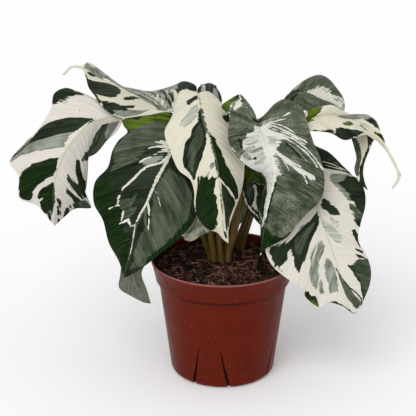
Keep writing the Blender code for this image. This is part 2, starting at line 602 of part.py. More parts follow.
def hide_cutters(collection):
    collection.hide_render = True
    for cutter in collection.objects:
        cutter.hide_render = True
        cutter.display_type = "WIRE"


def cut_with(piece, collection):
    cut = piece.modifiers.new("cut", "BOOLEAN")
    cut.operation = "DIFFERENCE"
    cut.operand_type = "COLLECTION"
    cut.collection = collection
    cut.solver = "EXACT"


def soil_height(radius, angle):
    """The soil's surface: mounded round the stems, with soft lumps."""
    share = radius / soil_top_radius()
    x, y = radius * math.cos(angle), radius * math.sin(angle)
    lumps = sum(strength * math.sin(x * turn_x + y * turn_y + phase)
                for strength, turn_x, turn_y, phase in SOIL_WAVES)
    fade = min(1.0, SOIL_FADE * share * (1 - share))
    mound = POT_HEIGHT - SOIL_EDGE_BELOW_RIM + SOIL_MOUND * (1 - share**2)
    return mound + SOIL_RELIEF * lumps * fade


def soil_top_radius():
    return pot_outside(POT_HEIGHT - SOIL_EDGE_BELOW_RIM) - POT_WALL - GAP


def make_soil(material):
    _, inside, floor_top = pot_profile()
    top_radius = soil_top_radius()
    collar_inside = POT_HEIGHT - COLLAR_DEPTH + POT_WALL
    # Up the side, a gap in from the pot's inside, then over the top in rings
    side = [
        (inside[0][0] - GAP, floor_top + GAP),
        (inside[1][0] - GAP, inside[1][1] + GAP),
        (inside[2][0] - GAP, inside[2][1] + GAP),
        (inside[3][0] - GAP - SOIL_COLLAR_INSET, collar_inside + GAP),
        (top_radius, POT_HEIGHT - SOIL_EDGE_BELOW_RIM),
    ]
    points, faces = [], []
    for radius, height in side:
        for segment in range(SOIL_SEGMENTS):
            angle = math.tau * segment / SOIL_SEGMENTS
            points.append((radius * math.cos(angle), radius * math.sin(angle), height))
    for ring in range(1, SOIL_RINGS):
        radius = top_radius * (1 - ring / SOIL_RINGS)
        for segment in range(SOIL_SEGMENTS):
            angle = math.tau * segment / SOIL_SEGMENTS
            height = soil_height(radius, angle)
            points.append((radius * math.cos(angle), radius * math.sin(angle), height))
    ring_count = len(side) + SOIL_RINGS - 1
    for ring in range(ring_count - 1):
        for segment in range(SOIL_SEGMENTS):
            following = (segment + 1) % SOIL_SEGMENTS
            a, b = ring * SOIL_SEGMENTS + segment, ring * SOIL_SEGMENTS + following
            c, d = b + SOIL_SEGMENTS, a + SOIL_SEGMENTS
            faces += [(a, b, c), (a, c, d)]
    bottom, top = len(points), len(points) + 1
    points += [(0.0, 0.0, floor_top + GAP), (0.0, 0.0, soil_height(0.0, 0.0))]
    last = (ring_count - 1) * SOIL_SEGMENTS
    for segment in range(SOIL_SEGMENTS):
        following = (segment + 1) % SOIL_SEGMENTS
        faces.append((bottom, following, segment))
        faces.append((top, last + segment, last + following))
    soil = add_object("soil", points, faces, material)
    cutters = bpy.data.collections.new("soil_cutters")
    bpy.context.scene.collection.children.link(cutters)
    hole_radius = STEM_FOOT_RADIUS + GAP + STEM_HOLE_CLEARANCE
    for name, leaf in LEAVES.items():
        bottom_point, foot, _ = stem_path(leaf)
        beyond = foot + (foot - bottom_point) * STEM_HOLE_ABOVE
        start = bottom_point - unit(foot - bottom_point) * GAP
        hole = round_cutter(f"stem_hole_{name}", start, beyond, hole_radius, STEM_HOLE_SIDES)
        cutters.objects.link(hole)
    hide_cutters(cutters)
    cut_with(soil, cutters)
    soil.data.shade_smooth()
    return soil


def main():
    clear_scene()
    plastic = make_material("pot_plastic", (0.12, 0.018, 0.012), 0.45)
    earth = make_material("potting_soil", (0.035, 0.018, 0.014), 0.95)
    green = make_material("leaf_green", (0.035, 0.075, 0.035), 0.5)
    olive = make_material("stem_olive", (0.13, 0.11, 0.035), 0.5)
    make_pot(plastic)
    make_soil(earth)
    for name, leaf in LEAVES.items():
        make_stem(f"stem_{name}", leaf, olive)
        make_blade(f"leaf_{name}", leaf, green)


main()
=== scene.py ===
# Looks of a potted calathea: broad cream and green leaves on arching stems, in peat, in a thin plastic pot.
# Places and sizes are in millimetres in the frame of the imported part; mm turns them into metres.
import math

import bmesh
import bpy
import numpy as np
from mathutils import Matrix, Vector, noise


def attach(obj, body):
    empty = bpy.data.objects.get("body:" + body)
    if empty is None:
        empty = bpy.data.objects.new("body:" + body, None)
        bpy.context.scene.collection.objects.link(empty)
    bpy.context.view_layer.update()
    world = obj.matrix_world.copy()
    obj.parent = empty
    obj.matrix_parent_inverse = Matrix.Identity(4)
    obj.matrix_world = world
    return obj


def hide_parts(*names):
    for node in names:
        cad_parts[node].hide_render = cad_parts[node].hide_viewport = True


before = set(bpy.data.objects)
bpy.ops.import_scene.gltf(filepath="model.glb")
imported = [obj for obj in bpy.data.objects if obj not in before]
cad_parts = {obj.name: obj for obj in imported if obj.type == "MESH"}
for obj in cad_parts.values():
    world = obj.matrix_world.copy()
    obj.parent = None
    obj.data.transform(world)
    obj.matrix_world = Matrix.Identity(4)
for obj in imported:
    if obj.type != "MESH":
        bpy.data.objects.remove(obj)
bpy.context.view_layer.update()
mm = 0.001
print("frame loaded with", len(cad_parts), "nodes")


# Small helpers for meshes and node trees

def addObject(name, data):
    thing = bpy.data.objects.new(name, data)
    bpy.context.scene.collection.objects.link(thing)
    return thing


def addPiece(name, points, faces, materials=(), edges=()):
    mesh = bpy.data.meshes.new(name)
    mesh.from_pydata((np.asarray(points, float) * mm).tolist(), edges, faces)
    for material in materials:
        mesh.materials.append(material)
    return addObject(name, mesh)


def storeValues(mesh, name, values):
    layer = mesh.attributes.new(name, "FLOAT", "POINT")
    layer.data.foreach_set("value", np.asarray(values, np.float32))


def storeMap(mesh, name, places):
    corner = np.empty(len(mesh.loops), np.int32)
    mesh.loops.foreach_get("vertex_index", corner)
    layer = mesh.uv_layers.new(name=name)
    layer.data.foreach_set("uv", np.asarray(places, np.float32)[corner].ravel())


def faceOutwards(mesh):
    working = bmesh.new()
    working.from_mesh(mesh)
    bmesh.ops.recalc_face_normals(working, faces=working.faces)
    working.to_mesh(mesh)
    working.free()


def plainMesh(host, modifier):
    # The mesh that a modifier makes; the modifier itself goes
    mesh = bpy.data.meshes.new_from_object(host.evaluated_get(bpy.context.evaluated_depsgraph_get()))
    host.modifiers.remove(modifier)
    return mesh


def growPiece(name, host, tree, values):
    # Runs a node tree on a host mesh and keeps the result in place of the host
    modifier = host.modifiers.new("grow", "NODES")
    modifier.node_group = tree
    for item in tree.interface.items_tree:
        if item.in_out == "INPUT" and item.name in values:
            modifier[item.identifier] = values[item.name]
    mesh = plainMesh(host, modifier)
    mesh.name = name
    bpy.data.objects.remove(host)
    return addObject(name, mesh)


def dressPiece(piece, node):
    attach(piece, "root")
    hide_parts(node)


def setInputs(tree, node, values):
    # Links each value that is a socket and sets the others, by the input's name or number
    for key, value in values.items():
        if isinstance(value, bpy.types.NodeSocket):
            tree.links.new(value, node.inputs[key])
        else:
            node.inputs[key].default_value = value


def addNode(tree, kind, inputs=(), **settings):
    node = tree.nodes.new(kind)
    for key, value in settings.items():
        setattr(node, key, value)
    setInputs(tree, node, dict(inputs))
    return node


def newTree(kind, name, inputs, outputs):
    # inputs: name, kind of socket and value; outputs: name and kind of socket
    tree = bpy.data.node_groups.new(name, kind)
    for label, socketKind, value in inputs:
        socket = tree.interface.new_socket(name=label, in_out="INPUT", socket_type="NodeSocket" + socketKind)
        if value is not None:
            socket.default_value = value
    for label, socketKind in outputs:
        tree.interface.new_socket(name=label, in_out="OUTPUT", socket_type="NodeSocket" + socketKind)
    return tree, tree.nodes.new("NodeGroupInput").outputs, tree.nodes.new("NodeGroupOutput")


def mathNode(tree, operation, *values):
    return addNode(tree, "ShaderNodeMath", dict(enumerate(values)), operation=operation).outputs[0]


def joinVector(tree, *values):
    return addNode(tree, "ShaderNodeCombineXYZ", dict(enumerate(values))).outputs[0]


def noiseValue(tree, vector, scale, detail=2.0, roughness=0.55):
    return addNode(tree, "ShaderNodeTexNoise", {
        "Vector": vector, "Scale": scale, "Detail": detail, "Roughness": roughness,
    }).outputs[0]


def ramp(tree, value, low, high, outLow=0.0, outHigh=1.0):
    return addNode(tree, "ShaderNodeMapRange", {
        "Value": value, "From Min": low, "From Max": high, "To Min": outLow, "To Max": outHigh,
    }, interpolation_type="SMOOTHSTEP").outputs[0]


def mixColour(tree, share, first, second, blend="MIX"):
    first, second = ((*colour, 1.0) if isinstance(colour, tuple) else colour for colour in (first, second))
    inputs = {0: share, 6: first, 7: second}
    return addNode(tree, "ShaderNodeMix", inputs, data_type="RGBA", blend_type=blend, clamp_factor=True).outputs[2]


def tint(tree, colour, pattern, start, full, strength, over):
    # Lays a colour over another where a pattern is above start, at its whole strength from full on
    return mixColour(tree, ramp(tree, pattern, start, full, 0.0, strength), colour, over)


def cover(tree, colour, mask, strength, over):
    return mixColour(tree, mathNode(tree, "MULTIPLY", mask, strength), colour, over)


def useGroup(tree, group, vector, inputs):
    return addNode(tree, "ShaderNodeGroup", {"Vector": vector, **inputs}, node_tree=group).outputs


def readValue(tree, name):
    return addNode(tree, "ShaderNodeAttribute", attribute_name=name).outputs["Fac"]


def newMaterial(name):
    material = bpy.data.materials.new(name)
    material.use_nodes = True
    tree = material.node_tree
    return material, tree, addNode(tree, "ShaderNodeTexCoord").outputs["Object"]


noiseSpan = (0.3, 0.7)  # few values of a noise pattern lie outside it


def finishMaterial(tree, look, colour, height, dull=None):
    # look: specular, relief as its depth in mm and its strength, and roughness. With dull, a pattern, roughness
    # is the two values that it runs between, and without it is one value.
    roughness = look["roughness"] if dull is None else ramp(tree, dull, *noiseSpan, *look["roughness"])
    depth, strength = look["relief"]
    bump = addNode(tree, "ShaderNodeBump", {"Height": height, "Distance": depth * mm, "Strength": strength})
    setInputs(tree, tree.nodes["Principled BSDF"], {
        "Base Color": colour, "Roughness": roughness, "Specular IOR Level": look["specular"],
        "Normal": bump.outputs[0],
    })


# Node groups that more than one material uses

def makeGrainGroup():
    tree, given, groupOut = newTree(
        "ShaderNodeTree", "fineGrain",
        [("Vector", "Vector", None), ("Size", "Float", 1.0), ("Mottle Size", "Float", 6.0)],
        [("Height", "Float"), ("Mottle", "Float")],
    )
    for label, size, detail, roughness in (("Height", "Size", 3.0, 0.6), ("Mottle", "Mottle Size", 2.0, 0.5)):
        perMetre = mathNode(tree, "DIVIDE", 1 / mm, given[size])
        setInputs(tree, groupOut, {label: noiseValue(tree, given["Vector"], perMetre, detail, roughness)})
    return tree


def makeSpeckGroup():
    # Round specks in a share of the cells of a pattern; Largest is the radius of the widest one, in cells
    tree, given, groupOut = newTree(
        "ShaderNodeTree", "dustSpecks",
        [("Vector", "Vector", None), ("Size", "Float", 1.5), ("Amount", "Float", 0.1), ("Largest", "Float", 0.35)],
        [("Mask", "Float")],
    )
    perMetre = mathNode(tree, "DIVIDE", 1 / mm, given["Size"])
    cells = addNode(tree, "ShaderNodeTexVoronoi", {"Vector": given["Vector"], "Scale": perMetre}, feature="F1")
    pick = addNode(tree, "ShaderNodeSeparateColor", {"Color": cells.outputs["Color"]}).outputs
    chosen = mathNode(tree, "LESS_THAN", pick[0], given["Amount"])
    radius = mathNode(tree, "MULTIPLY", pick[1], given["Largest"])
    spot = mathNode(tree, "LESS_THAN", cells.outputs["Distance"], radius)
    setInputs(tree, groupOut, {"Mask": mathNode(tree, "MULTIPLY", chosen, spot)})
    return tree


# Side veins: their number from the stem to the tip, and how their places drift, in radians: along the blade, from
# leaf to leaf, and at most. The streaks beside them are noise: its cells across the blade and from the stem to
# the tip, where it starts, and its detail.
veinBuild = dict(
    count=26, driftPace=33.0, driftLeaf=2.1, drift=1.6, leafShift=7.3, streakRoughness=0.6,
    narrowTeeth=((9.0, 95.0, 0.0, 2.0), 4.6), wideTeeth=((6.0, 30.0, 3.7, 1.0), 4.0),  # and their reach in mm
    fine=(5.0, 170.0, 9.1, 2.0), broad=(3.0, 14.0, 5.5, 2.0), midribEdge=(0.004, 0.016),
)


def makeVeinGroup():
    # Patterns that run along the side veins, from the leaf's own map: x across, y from the stem to the tip
    tree, given, groupOut = newTree(
        "ShaderNodeTree", "veinStreaks",
        [("Vector", "Vector", None), ("Leaf", "Float", 0.0)],
        [(label, "Float") for label in ("Teeth", "Fine", "Broad", "Ridge", "Midrib")],
    )
    b, leaf = veinBuild, given["Leaf"]
    across, along, _ = addNode(tree, "ShaderNodeSeparateXYZ", {0: given["Vector"]}).outputs

    def streak(acrossTurns, alongTurns, start, detail):
        vector = joinVector(tree, mathNode(tree, "MULTIPLY", across, acrossTurns),
                            mathNode(tree, "MULTIPLY", along, alongTurns),
                            mathNode(tree, "MULTIPLY_ADD", leaf, b["leafShift"], start))
        return noiseValue(tree, vector, 1.0, detail, b["streakRoughness"])

    def teeth(pattern, length):
        return mathNode(tree, "MULTIPLY", mathNode(tree, "SUBTRACT", streak(*pattern), 0.5), length)

    leafDrift = mathNode(tree, "MULTIPLY", leaf, b["driftLeaf"])
    drift = mathNode(tree, "SINE", mathNode(tree, "MULTIPLY_ADD", along, b["driftPace"], leafDrift))
    drift = mathNode(tree, "MULTIPLY", drift, b["drift"])
    turns = mathNode(tree, "MULTIPLY_ADD", along, math.tau * b["count"], drift)
    away = mathNode(tree, "ABSOLUTE", mathNode(tree, "SUBTRACT", across, 0.5))
    setInputs(tree, groupOut, {
        "Teeth": mathNode(tree, "ADD", teeth(*b["narrowTeeth"]), teeth(*b["wideTeeth"])),
        "Fine": streak(*b["fine"]), "Broad": streak(*b["broad"]), "Ridge": mathNode(tree, "COSINE", turns),
        "Midrib": ramp(tree, away, *b["midribEdge"], 1.0, 0.0),
    })
    return tree


grainGroup = makeGrainGroup()
speckGroup = makeSpeckGroup()
veinGroup = makeVeinGroup()


# Blades

# One entry for each leaf. midrib: points from the stem's end to the tip. left and right: points of the
# margin on each side of the midrib, seen with the upper side up and the tip away, from beside the
# stem's end to beside the tip. bulge: how far the right and the left half arch up between the midrib and the
# margin. wave: height and number of the ripples beside the margin. foot: where the stem stands in the soil.
# stem: points on its way up. rows: how finely the blade is read to aim the stem's end at it.
leafForms = {
    "far_left": dict(
        midrib=((-81, 0, 221), (-92, -6, 222), (-104, -13, 220), (-116, -18, 210), (-124, -21, 200),
            (-131, -22, 185), (-136, -20, 166), (-137, -14, 133)),
        left=((-81, -2, 218), (-85, -2, 210), (-95, 0, 200), (-103, 2, 190), (-115, 2, 183),
            (-116, 0, 177), (-112, 0, 162), (-114, -2, 152), (-108, -3, 145), (-121, -6, 145),
            (-131, -10, 138)),
        right=((-83, 4, 223), (-92, 7, 224), (-102, 13, 228), (-114, 18, 234), (-126, 18, 240),
            (-136, 12, 237), (-138, 4, 227), (-148, -4, 212), (-158, -8, 202), (-171, -10, 186),
            (-164, -14, 176), (-164, -16, 158), (-150, -16, 151), (-141, -15, 139)),
        bulge=(3, 3), wave=(1.2, 3.5), foot=(-8, 4.6),
        stem=((-17, 6, 125), (-27, 8, 162), (-48, 12, 206), (-66, 6, 218)),
    ),
    "upper_left": dict(
        midrib=((-37, 12, 224), (-49, 20, 222), (-60, 26, 225), (-68, 30, 228), (-78, 34, 232),
            (-92, 39, 238), (-103, 43, 243), (-113, 46, 248), (-120, 48, 251), (-127, 48, 250),
            (-133, 46, 244)),
        left=((-38, 9, 223), (-51, 0, 223), (-60, -3, 222), (-71, -4, 221), (-82, -6, 222),
            (-90, -6, 226), (-97, -1, 230), (-103, 8, 236), (-109, 20, 240), (-113, 35, 246),
            (-117, 44, 248), (-122, 48, 250), (-127, 48, 249), (-131, 46, 243)),
        right=((-34, 16, 225), (-26, 30, 226), (-22, 42, 230), (-23, 50, 234), (-33, 56, 236),
            (-44, 58, 231), (-61, 58, 227), (-76, 56, 230), (-86, 54, 233), (-96, 54, 241),
            (-107, 54, 250), (-115, 52, 256), (-120, 49, 252), (-127, 48, 251), (-132, 47, 245)),
        bulge=(3, 3), wave=(0.8, 3.0), foot=(-10.4, 10.2),
        stem=((-16, 16, 150), (-23, 15, 205)),
    ),
    "front_left": dict(
        midrib=((-32, -6, 221), (-36, -16, 211), (-42, -26, 198), (-52, -36, 181), (-59, -43, 164),
            (-68, -48, 147), (-73, -51, 127), (-79, -50, 103)),
        left=((-29, -6, 220), (-24, -6, 217), (-19, -12, 209), (-16, -20, 195), (-16, -26, 178),
            (-19, -30, 161), (-24, -35, 145), (-36, -41, 132), (-49, -46, 123), (-63, -49, 112),
            (-74, -50, 105)),
        right=((-34, -8, 225), (-46, -8, 227), (-58, -9, 225), (-69, -11, 224), (-80, -14, 222),
            (-79, -15, 218), (-76, -15, 213), (-83, -15, 206), (-88, -16, 198), (-92, -20, 185),
            (-102, -24, 174), (-103, -29, 158), (-96, -34, 146), (-91, -41, 129), (-83, -46, 115)),
        bulge=(3, 3), wave=(1.5, 4.0), foot=(-4.8, -0.5),
        stem=((-11, -1, 128), (-16, -1, 155), (-23, 4, 208)),
    ),
    "front": dict(
        midrib=((-20, 0, 240), (-19, -14, 239), (-16, -32, 227), (-10, -43, 213), (-6, -49, 200),
            (-4, -53, 186), (-2, -54, 170), (0, -52, 152), (3, -47, 131)),
        left=((-17, 2, 240), (-12, 6, 240), (-7, 3, 237), (-1, -3, 232), (5, -12, 227), (10, -18, 217),
            (14, -24, 204), (16, -29, 190), (15, -34, 177), (12, -39, 166), (8, -42, 156), (4, -45, 144)),
        right=((-23, 2, 239), (-27, 6, 238), (-32, 8, 241), (-36, 3, 239), (-38, -8, 233),
            (-41, -20, 226), (-46, -31, 217), (-42, -37, 205), (-35, -42, 190), (-26, -45, 183),
            (-23, -46, 173), (-23, -46, 163), (-20, -46, 152), (-13, -46, 143), (-5, -47, 140),
            (-1, -47, 135)),
        bulge=(4, 4), wave=(1.2, 4.0), foot=(-1.7, -6.2),
        stem=((-4, -3, 124), (-8, 4, 158), (-19, 13, 224)),
    ),
    "front_right": dict(
        midrib=((25, -18, 223), (29, -26, 218), (33, -35, 211), (37, -41, 200), (39, -45, 189),
            (37, -49, 176), (33, -51, 159), (31, -50, 140), (29, -48, 121)),
        left=((28, -17, 223), (34, -9, 227), (41, -4, 233), (48, -2, 236), (56, -4, 234),
            (62, -9, 230), (66, -17, 219), (71, -24, 205), (76, -28, 194), (79, -33, 179),
            (76, -38, 164), (65, -42, 154), (57, -45, 146), (50, -48, 137), (39, -50, 131),
            (32, -50, 127)),
        right=((22, -18, 222), (18, -13, 227), (14, -12, 236), (13, -14, 243), (6, -18, 241),
            (-2, -24, 236), (4, -32, 231), (3, -38, 221), (4, -42, 211), (11, -42, 200),
            (20, -38, 191), (29, -33, 184), (34, -26, 173), (31, -20, 160), (29, -21, 150),
            (31, -33, 141), (30, -42, 132)),
        bulge=(3, 3), wave=(1.5, 4.0), foot=(4.1, -6),
        stem=((8.5, -3, 124), (13, 3.5, 150), (13.5, 6, 176), (18.5, 2, 208)),
    ),
    "upper_right": dict(
        midrib=((50, 8, 228), (55, 14, 234), (62, 20, 236), (71, 26, 233), (80, 30, 229),
            (89, 33, 224), (100, 36, 215)),
        left=((48, 12, 229), (52, 26, 232), (61, 42, 232), (66, 52, 234), (73, 57, 239), (82, 58, 241),
            (89, 55, 238), (94, 50, 233), (100, 44, 225), (101, 39, 219)),
        right=((53, 6, 227), (58, 3, 227), (66, 4, 225), (74, 8, 225), (82, 14, 225), (90, 22, 222),
            (97, 31, 216)),
        bulge=(3, 3), wave=(1.0, 3.0), foot=(4.3, 4.8),
        stem=((10, 10, 119), (18, 16, 152), (30, 16, 208)),
    ),
    "right_tailed": dict(
        midrib=((63, -4, 219), (74, 2, 221), (86, 5, 221), (97, 5, 219), (108, 2, 216), (117, -3, 211),
            (125, -7, 205), (131, -10, 196), (137, -12, 186), (142, -12, 175), (136, -12, 164)),
        left=((64, -2, 223), (67, 1, 227), (77, 4, 228), (87, 6, 229), (96, 8, 224), (105, 9, 220),
            (114, 8, 221), (122, 4, 217), (126, -2, 209), (131, -8, 199), (138, -11, 187),
            (143, -12, 175), (138, -12, 165)),
        right=((64, -8, 217), (67, -14, 214), (77, -18, 214), (85, -20, 213), (95, -21, 208),
            (104, -20, 210), (112, -16, 211), (119, -12, 206), (125, -11, 202), (131, -11, 194),
            (136, -12, 184), (140, -12, 174), (135, -12, 166)),
        bulge=(2, 2), wave=(0.8, 3.0), foot=(12.3, 28.5),
        stem=((19.4, 27.6, 123), (28, 20, 156), (45, 4, 206)),
    ),
    "lower_right": dict(
        midrib=((65, -6, 173), (70, -14, 164), (75, -22, 153), (80, -31, 139), (85, -38, 126),
            (90, -43, 112), (95, -47, 99), (110, -50, 77)),
        left=((69, -3, 175), (76, 1, 178), (87, 2, 176), (99, -3, 175), (110, -9, 170),
            (114, -14, 161), (114, -18, 151), (110, -24, 138), (108, -31, 127), (114, -36, 117),
            (118, -40, 105), (117, -44, 94), (111, -49, 80)),
        right=((62, -8, 171), (54, -16, 164), (46, -26, 154), (39, -34, 144), (34, -40, 134),
            (33, -45, 124), (38, -48, 113), (49, -50, 103), (62, -52, 95), (66, -52, 86),
            (77, -52, 78), (83, -52, 82), (95, -52, 79), (105, -51, 72)),
        bulge=(3, 3), wave=(1.5, 4.0), foot=(16.6, 25),
        stem=((22, 22, 126), (32, 14, 152), (50, 6, 173)),
    ),
    "inner_young": dict(
        midrib=((22, 8, 184), (25, 2, 170), (27, -2, 156), (28, -5, 145), (33, -6, 128)),
        left=((25, 8, 184), (32, 4, 177), (37, 0, 165), (37, -2, 153), (35, -5, 142)),
        right=((19, 8, 182), (16, 4, 170), (16, 1, 157), (19, -3, 146), (26, -6, 136)),
        bulge=(2, 2), wave=(0.5, 3.0), foot=(1.2, -0.6),
        stem=((10.5, 5, 126), (17.5, 10, 152), (19.5, 11.5, 182)), rows=10,
    ),
    "low_left": dict(
        midrib=((-57, -20, 159), (-64, -28, 142), (-69, -34, 124), (-73, -38, 108), (-70, -38, 90),
            (-59, -34, 73)),
        left=((-61, -20, 158), (-72, -24, 145), (-79, -31, 129), (-81, -36, 114), (-83, -39, 99),
            (-84, -39, 89), (-74, -38, 81), (-65, -36, 75)),
        right=((-54, -20, 158), (-49, -24, 144), (-53, -29, 127), (-61, -34, 111), (-66, -36, 100),
            (-62, -36, 86)),
        bulge=(2, 2), wave=(1.0, 3.0), foot=(-10.7, -0.9),
        stem=((-22, -6, 132), (-48, -14, 164)),
    ),
    "right_hanging": dict(
        midrib=((111, 6, 210), (112, 0, 200), (111, -6, 190), (109, -12, 181), (110, -17, 173),
            (115, -20, 166)),
        left=((115, 8, 209), (122, 6, 204), (119, 2, 195), (115, -4, 188), (112, -10, 179),
            (113, -16, 171)),
        right=((108, 6, 209), (103, 4, 206), (105, 0, 197), (107, -6, 188), (105, -12, 180),
            (109, -18, 171)),
        bulge=(2, 2), wave=(0.4, 3.0), foot=(13.2, 34.5),
        stem=((21.5, 36.5, 124), (31, 32, 159), (44, 26, 203), (70, 15, 214), (96, 10, 212)), rows=10,
    ),
    "behind_right": dict(
        midrib=((50, 18, 196), (64, 22, 185), (78, 24, 170), (90, 23, 155), (98, 19, 138),
            (101, 12, 121)),
        left=((53, 22, 197), (64, 27, 196), (78, 30, 187), (88, 30, 182), (99, 27, 172),
            (109, 22, 162), (112, 18, 148), (108, 14, 133)),
        right=((48, 16, 193), (46, 15, 182), (50, 16, 166), (61, 16, 148), (74, 14, 133), (90, 12, 123)),
        bulge=(3, 3), wave=(1.0, 3.5), foot=(18.2, 31),
        stem=((25.5, 29, 129), (33, 26, 159), (36, 21, 188)),
    ),
    "low_inner": dict(
        midrib=((-14, -14, 155), (-19, -19, 145), (-24, -23, 135), (-31, -25, 125)),
        left=((-17, -14, 155), (-27, -17, 149), (-33, -21, 139), (-33, -24, 131)),
        right=((-11, -14, 153), (-8, -17, 144), (-9, -20, 133), (-18, -23, 128), (-26, -25, 124)),
        bulge=(2, 2), wave=(0.5, 3.0), foot=(-7.5, -6.2),
        stem=((-11, -9, 128),), rows=10,
    ),
    "back_top": dict(
        midrib=((-11, 22, 214), (-11, 28, 226), (-11, 40, 234), (-11, 54, 235), (-11, 72, 225),
            (-11, 90, 200)),
        left=((-14, 22, 215), (-18, 24, 222), (-21, 32, 229), (-21, 42, 233), (-18, 52, 234),
            (-18, 64, 231), (-17, 80, 215), (-14, 88, 202)),
        right=((-8, 22, 215), (-3, 24, 222), (-1, 30, 225), (-2, 40, 229), (-6, 50, 233),
            (-6, 64, 230), (-6, 80, 214), (-7, 88, 202)),
        bulge=(3, 3), wave=(1.0, 3.5), foot=(-1.7, 4.8),
        stem=((-5, 14, 150),),
    ),
    "back_left": dict(
        midrib=((-34, 40, 186), (-48, 54, 190), (-62, 68, 182), (-72, 78, 162), (-76, 82, 136),
            (-74, 82, 116)),
        left=((-37, 37, 186), (-46, 36, 188), (-62, 42, 186), (-80, 52, 176), (-94, 64, 156),
            (-96, 72, 136), (-86, 79, 120)),
        right=((-31, 43, 187), (-30, 54, 190), (-36, 76, 186), (-48, 96, 168), (-58, 102, 144),
            (-68, 94, 124)),
        bulge=(3, 3), wave=(1.5, 4.0), foot=(-4.6, 10.6),
        stem=((-13, 26, 140),),
    ),
    "back_right": dict(
        midrib=((36, 44, 180), (48, 60, 184), (60, 76, 176), (68, 88, 154), (70, 92, 128), (68, 90, 106)),
        left=((33, 46, 181), (28, 60, 186), (30, 84, 182), (44, 102, 164), (54, 110, 138),
            (62, 102, 116)),
        right=((39, 42, 179), (52, 42, 182), (74, 54, 176), (90, 72, 156), (94, 84, 130), (82, 90, 112)),
        bulge=(3, 3), wave=(1.5, 4.0), foot=(5, 16.2),
        stem=((9, 32, 140),),
    ),
    "back_middle": dict(
        midrib=((10, 40, 186), (10, 56, 193), (9, 74, 190), (8, 90, 176), (7, 98, 156), (6, 100, 138)),
        left=((6, 40, 186), (-5, 44, 188), (-21, 58, 186), (-22, 78, 180), (-12, 94, 164),
            (-2, 100, 147)),
        right=((14, 40, 186), (21, 42, 192), (29, 56, 196), (29, 74, 190), (22, 92, 172), (14, 99, 150)),
        bulge=(3, 3), wave=(1.5, 4.0), foot=(1.2, 10.4),
        stem=((2, 22, 150),),
    ),
    "back_low": dict(
        midrib=((-4, 56, 150), (-6, 72, 152), (-8, 88, 142), (-9, 96, 122), (-8, 98, 100), (-6, 94, 80)),
        left=((-8, 55, 150), (-20, 58, 154), (-36, 72, 150), (-44, 88, 132), (-40, 98, 108),
            (-22, 98, 88)),
        right=((0, 55, 150), (12, 58, 154), (28, 72, 150), (34, 88, 132), (30, 98, 108), (12, 98, 88)),
        bulge=(3, 3), wave=(1.5, 4.0), foot=(-1.5, 16),
        stem=((-2, 34, 130),),
    ),
}


# Markings: each is a tone over what lies under it, as an area or a line of a half width in mm. Places are
# (across, along) in hundredths: across from -100 at the right margin to 100 at the left one, along from the
# stem to the tip. A crisp value above 1 makes an edge keep closer to its outline. blush, freckle and snow: how
# far the leaf's cream is rosy, its sheened dark green is flecked and its cream is a cold white. The sheened
# green tone is dark green with a painted grey sheen.

toneOrder = ("grey", "pale", "moss", "dark", "rich", "limeGlow")
lineCrisp = 2.5


def area(tone, crisp, *outline):
    return tone, crisp, None, outline


def line(tone, halfWidth, *path):
    return tone, lineCrisp, halfWidth, path


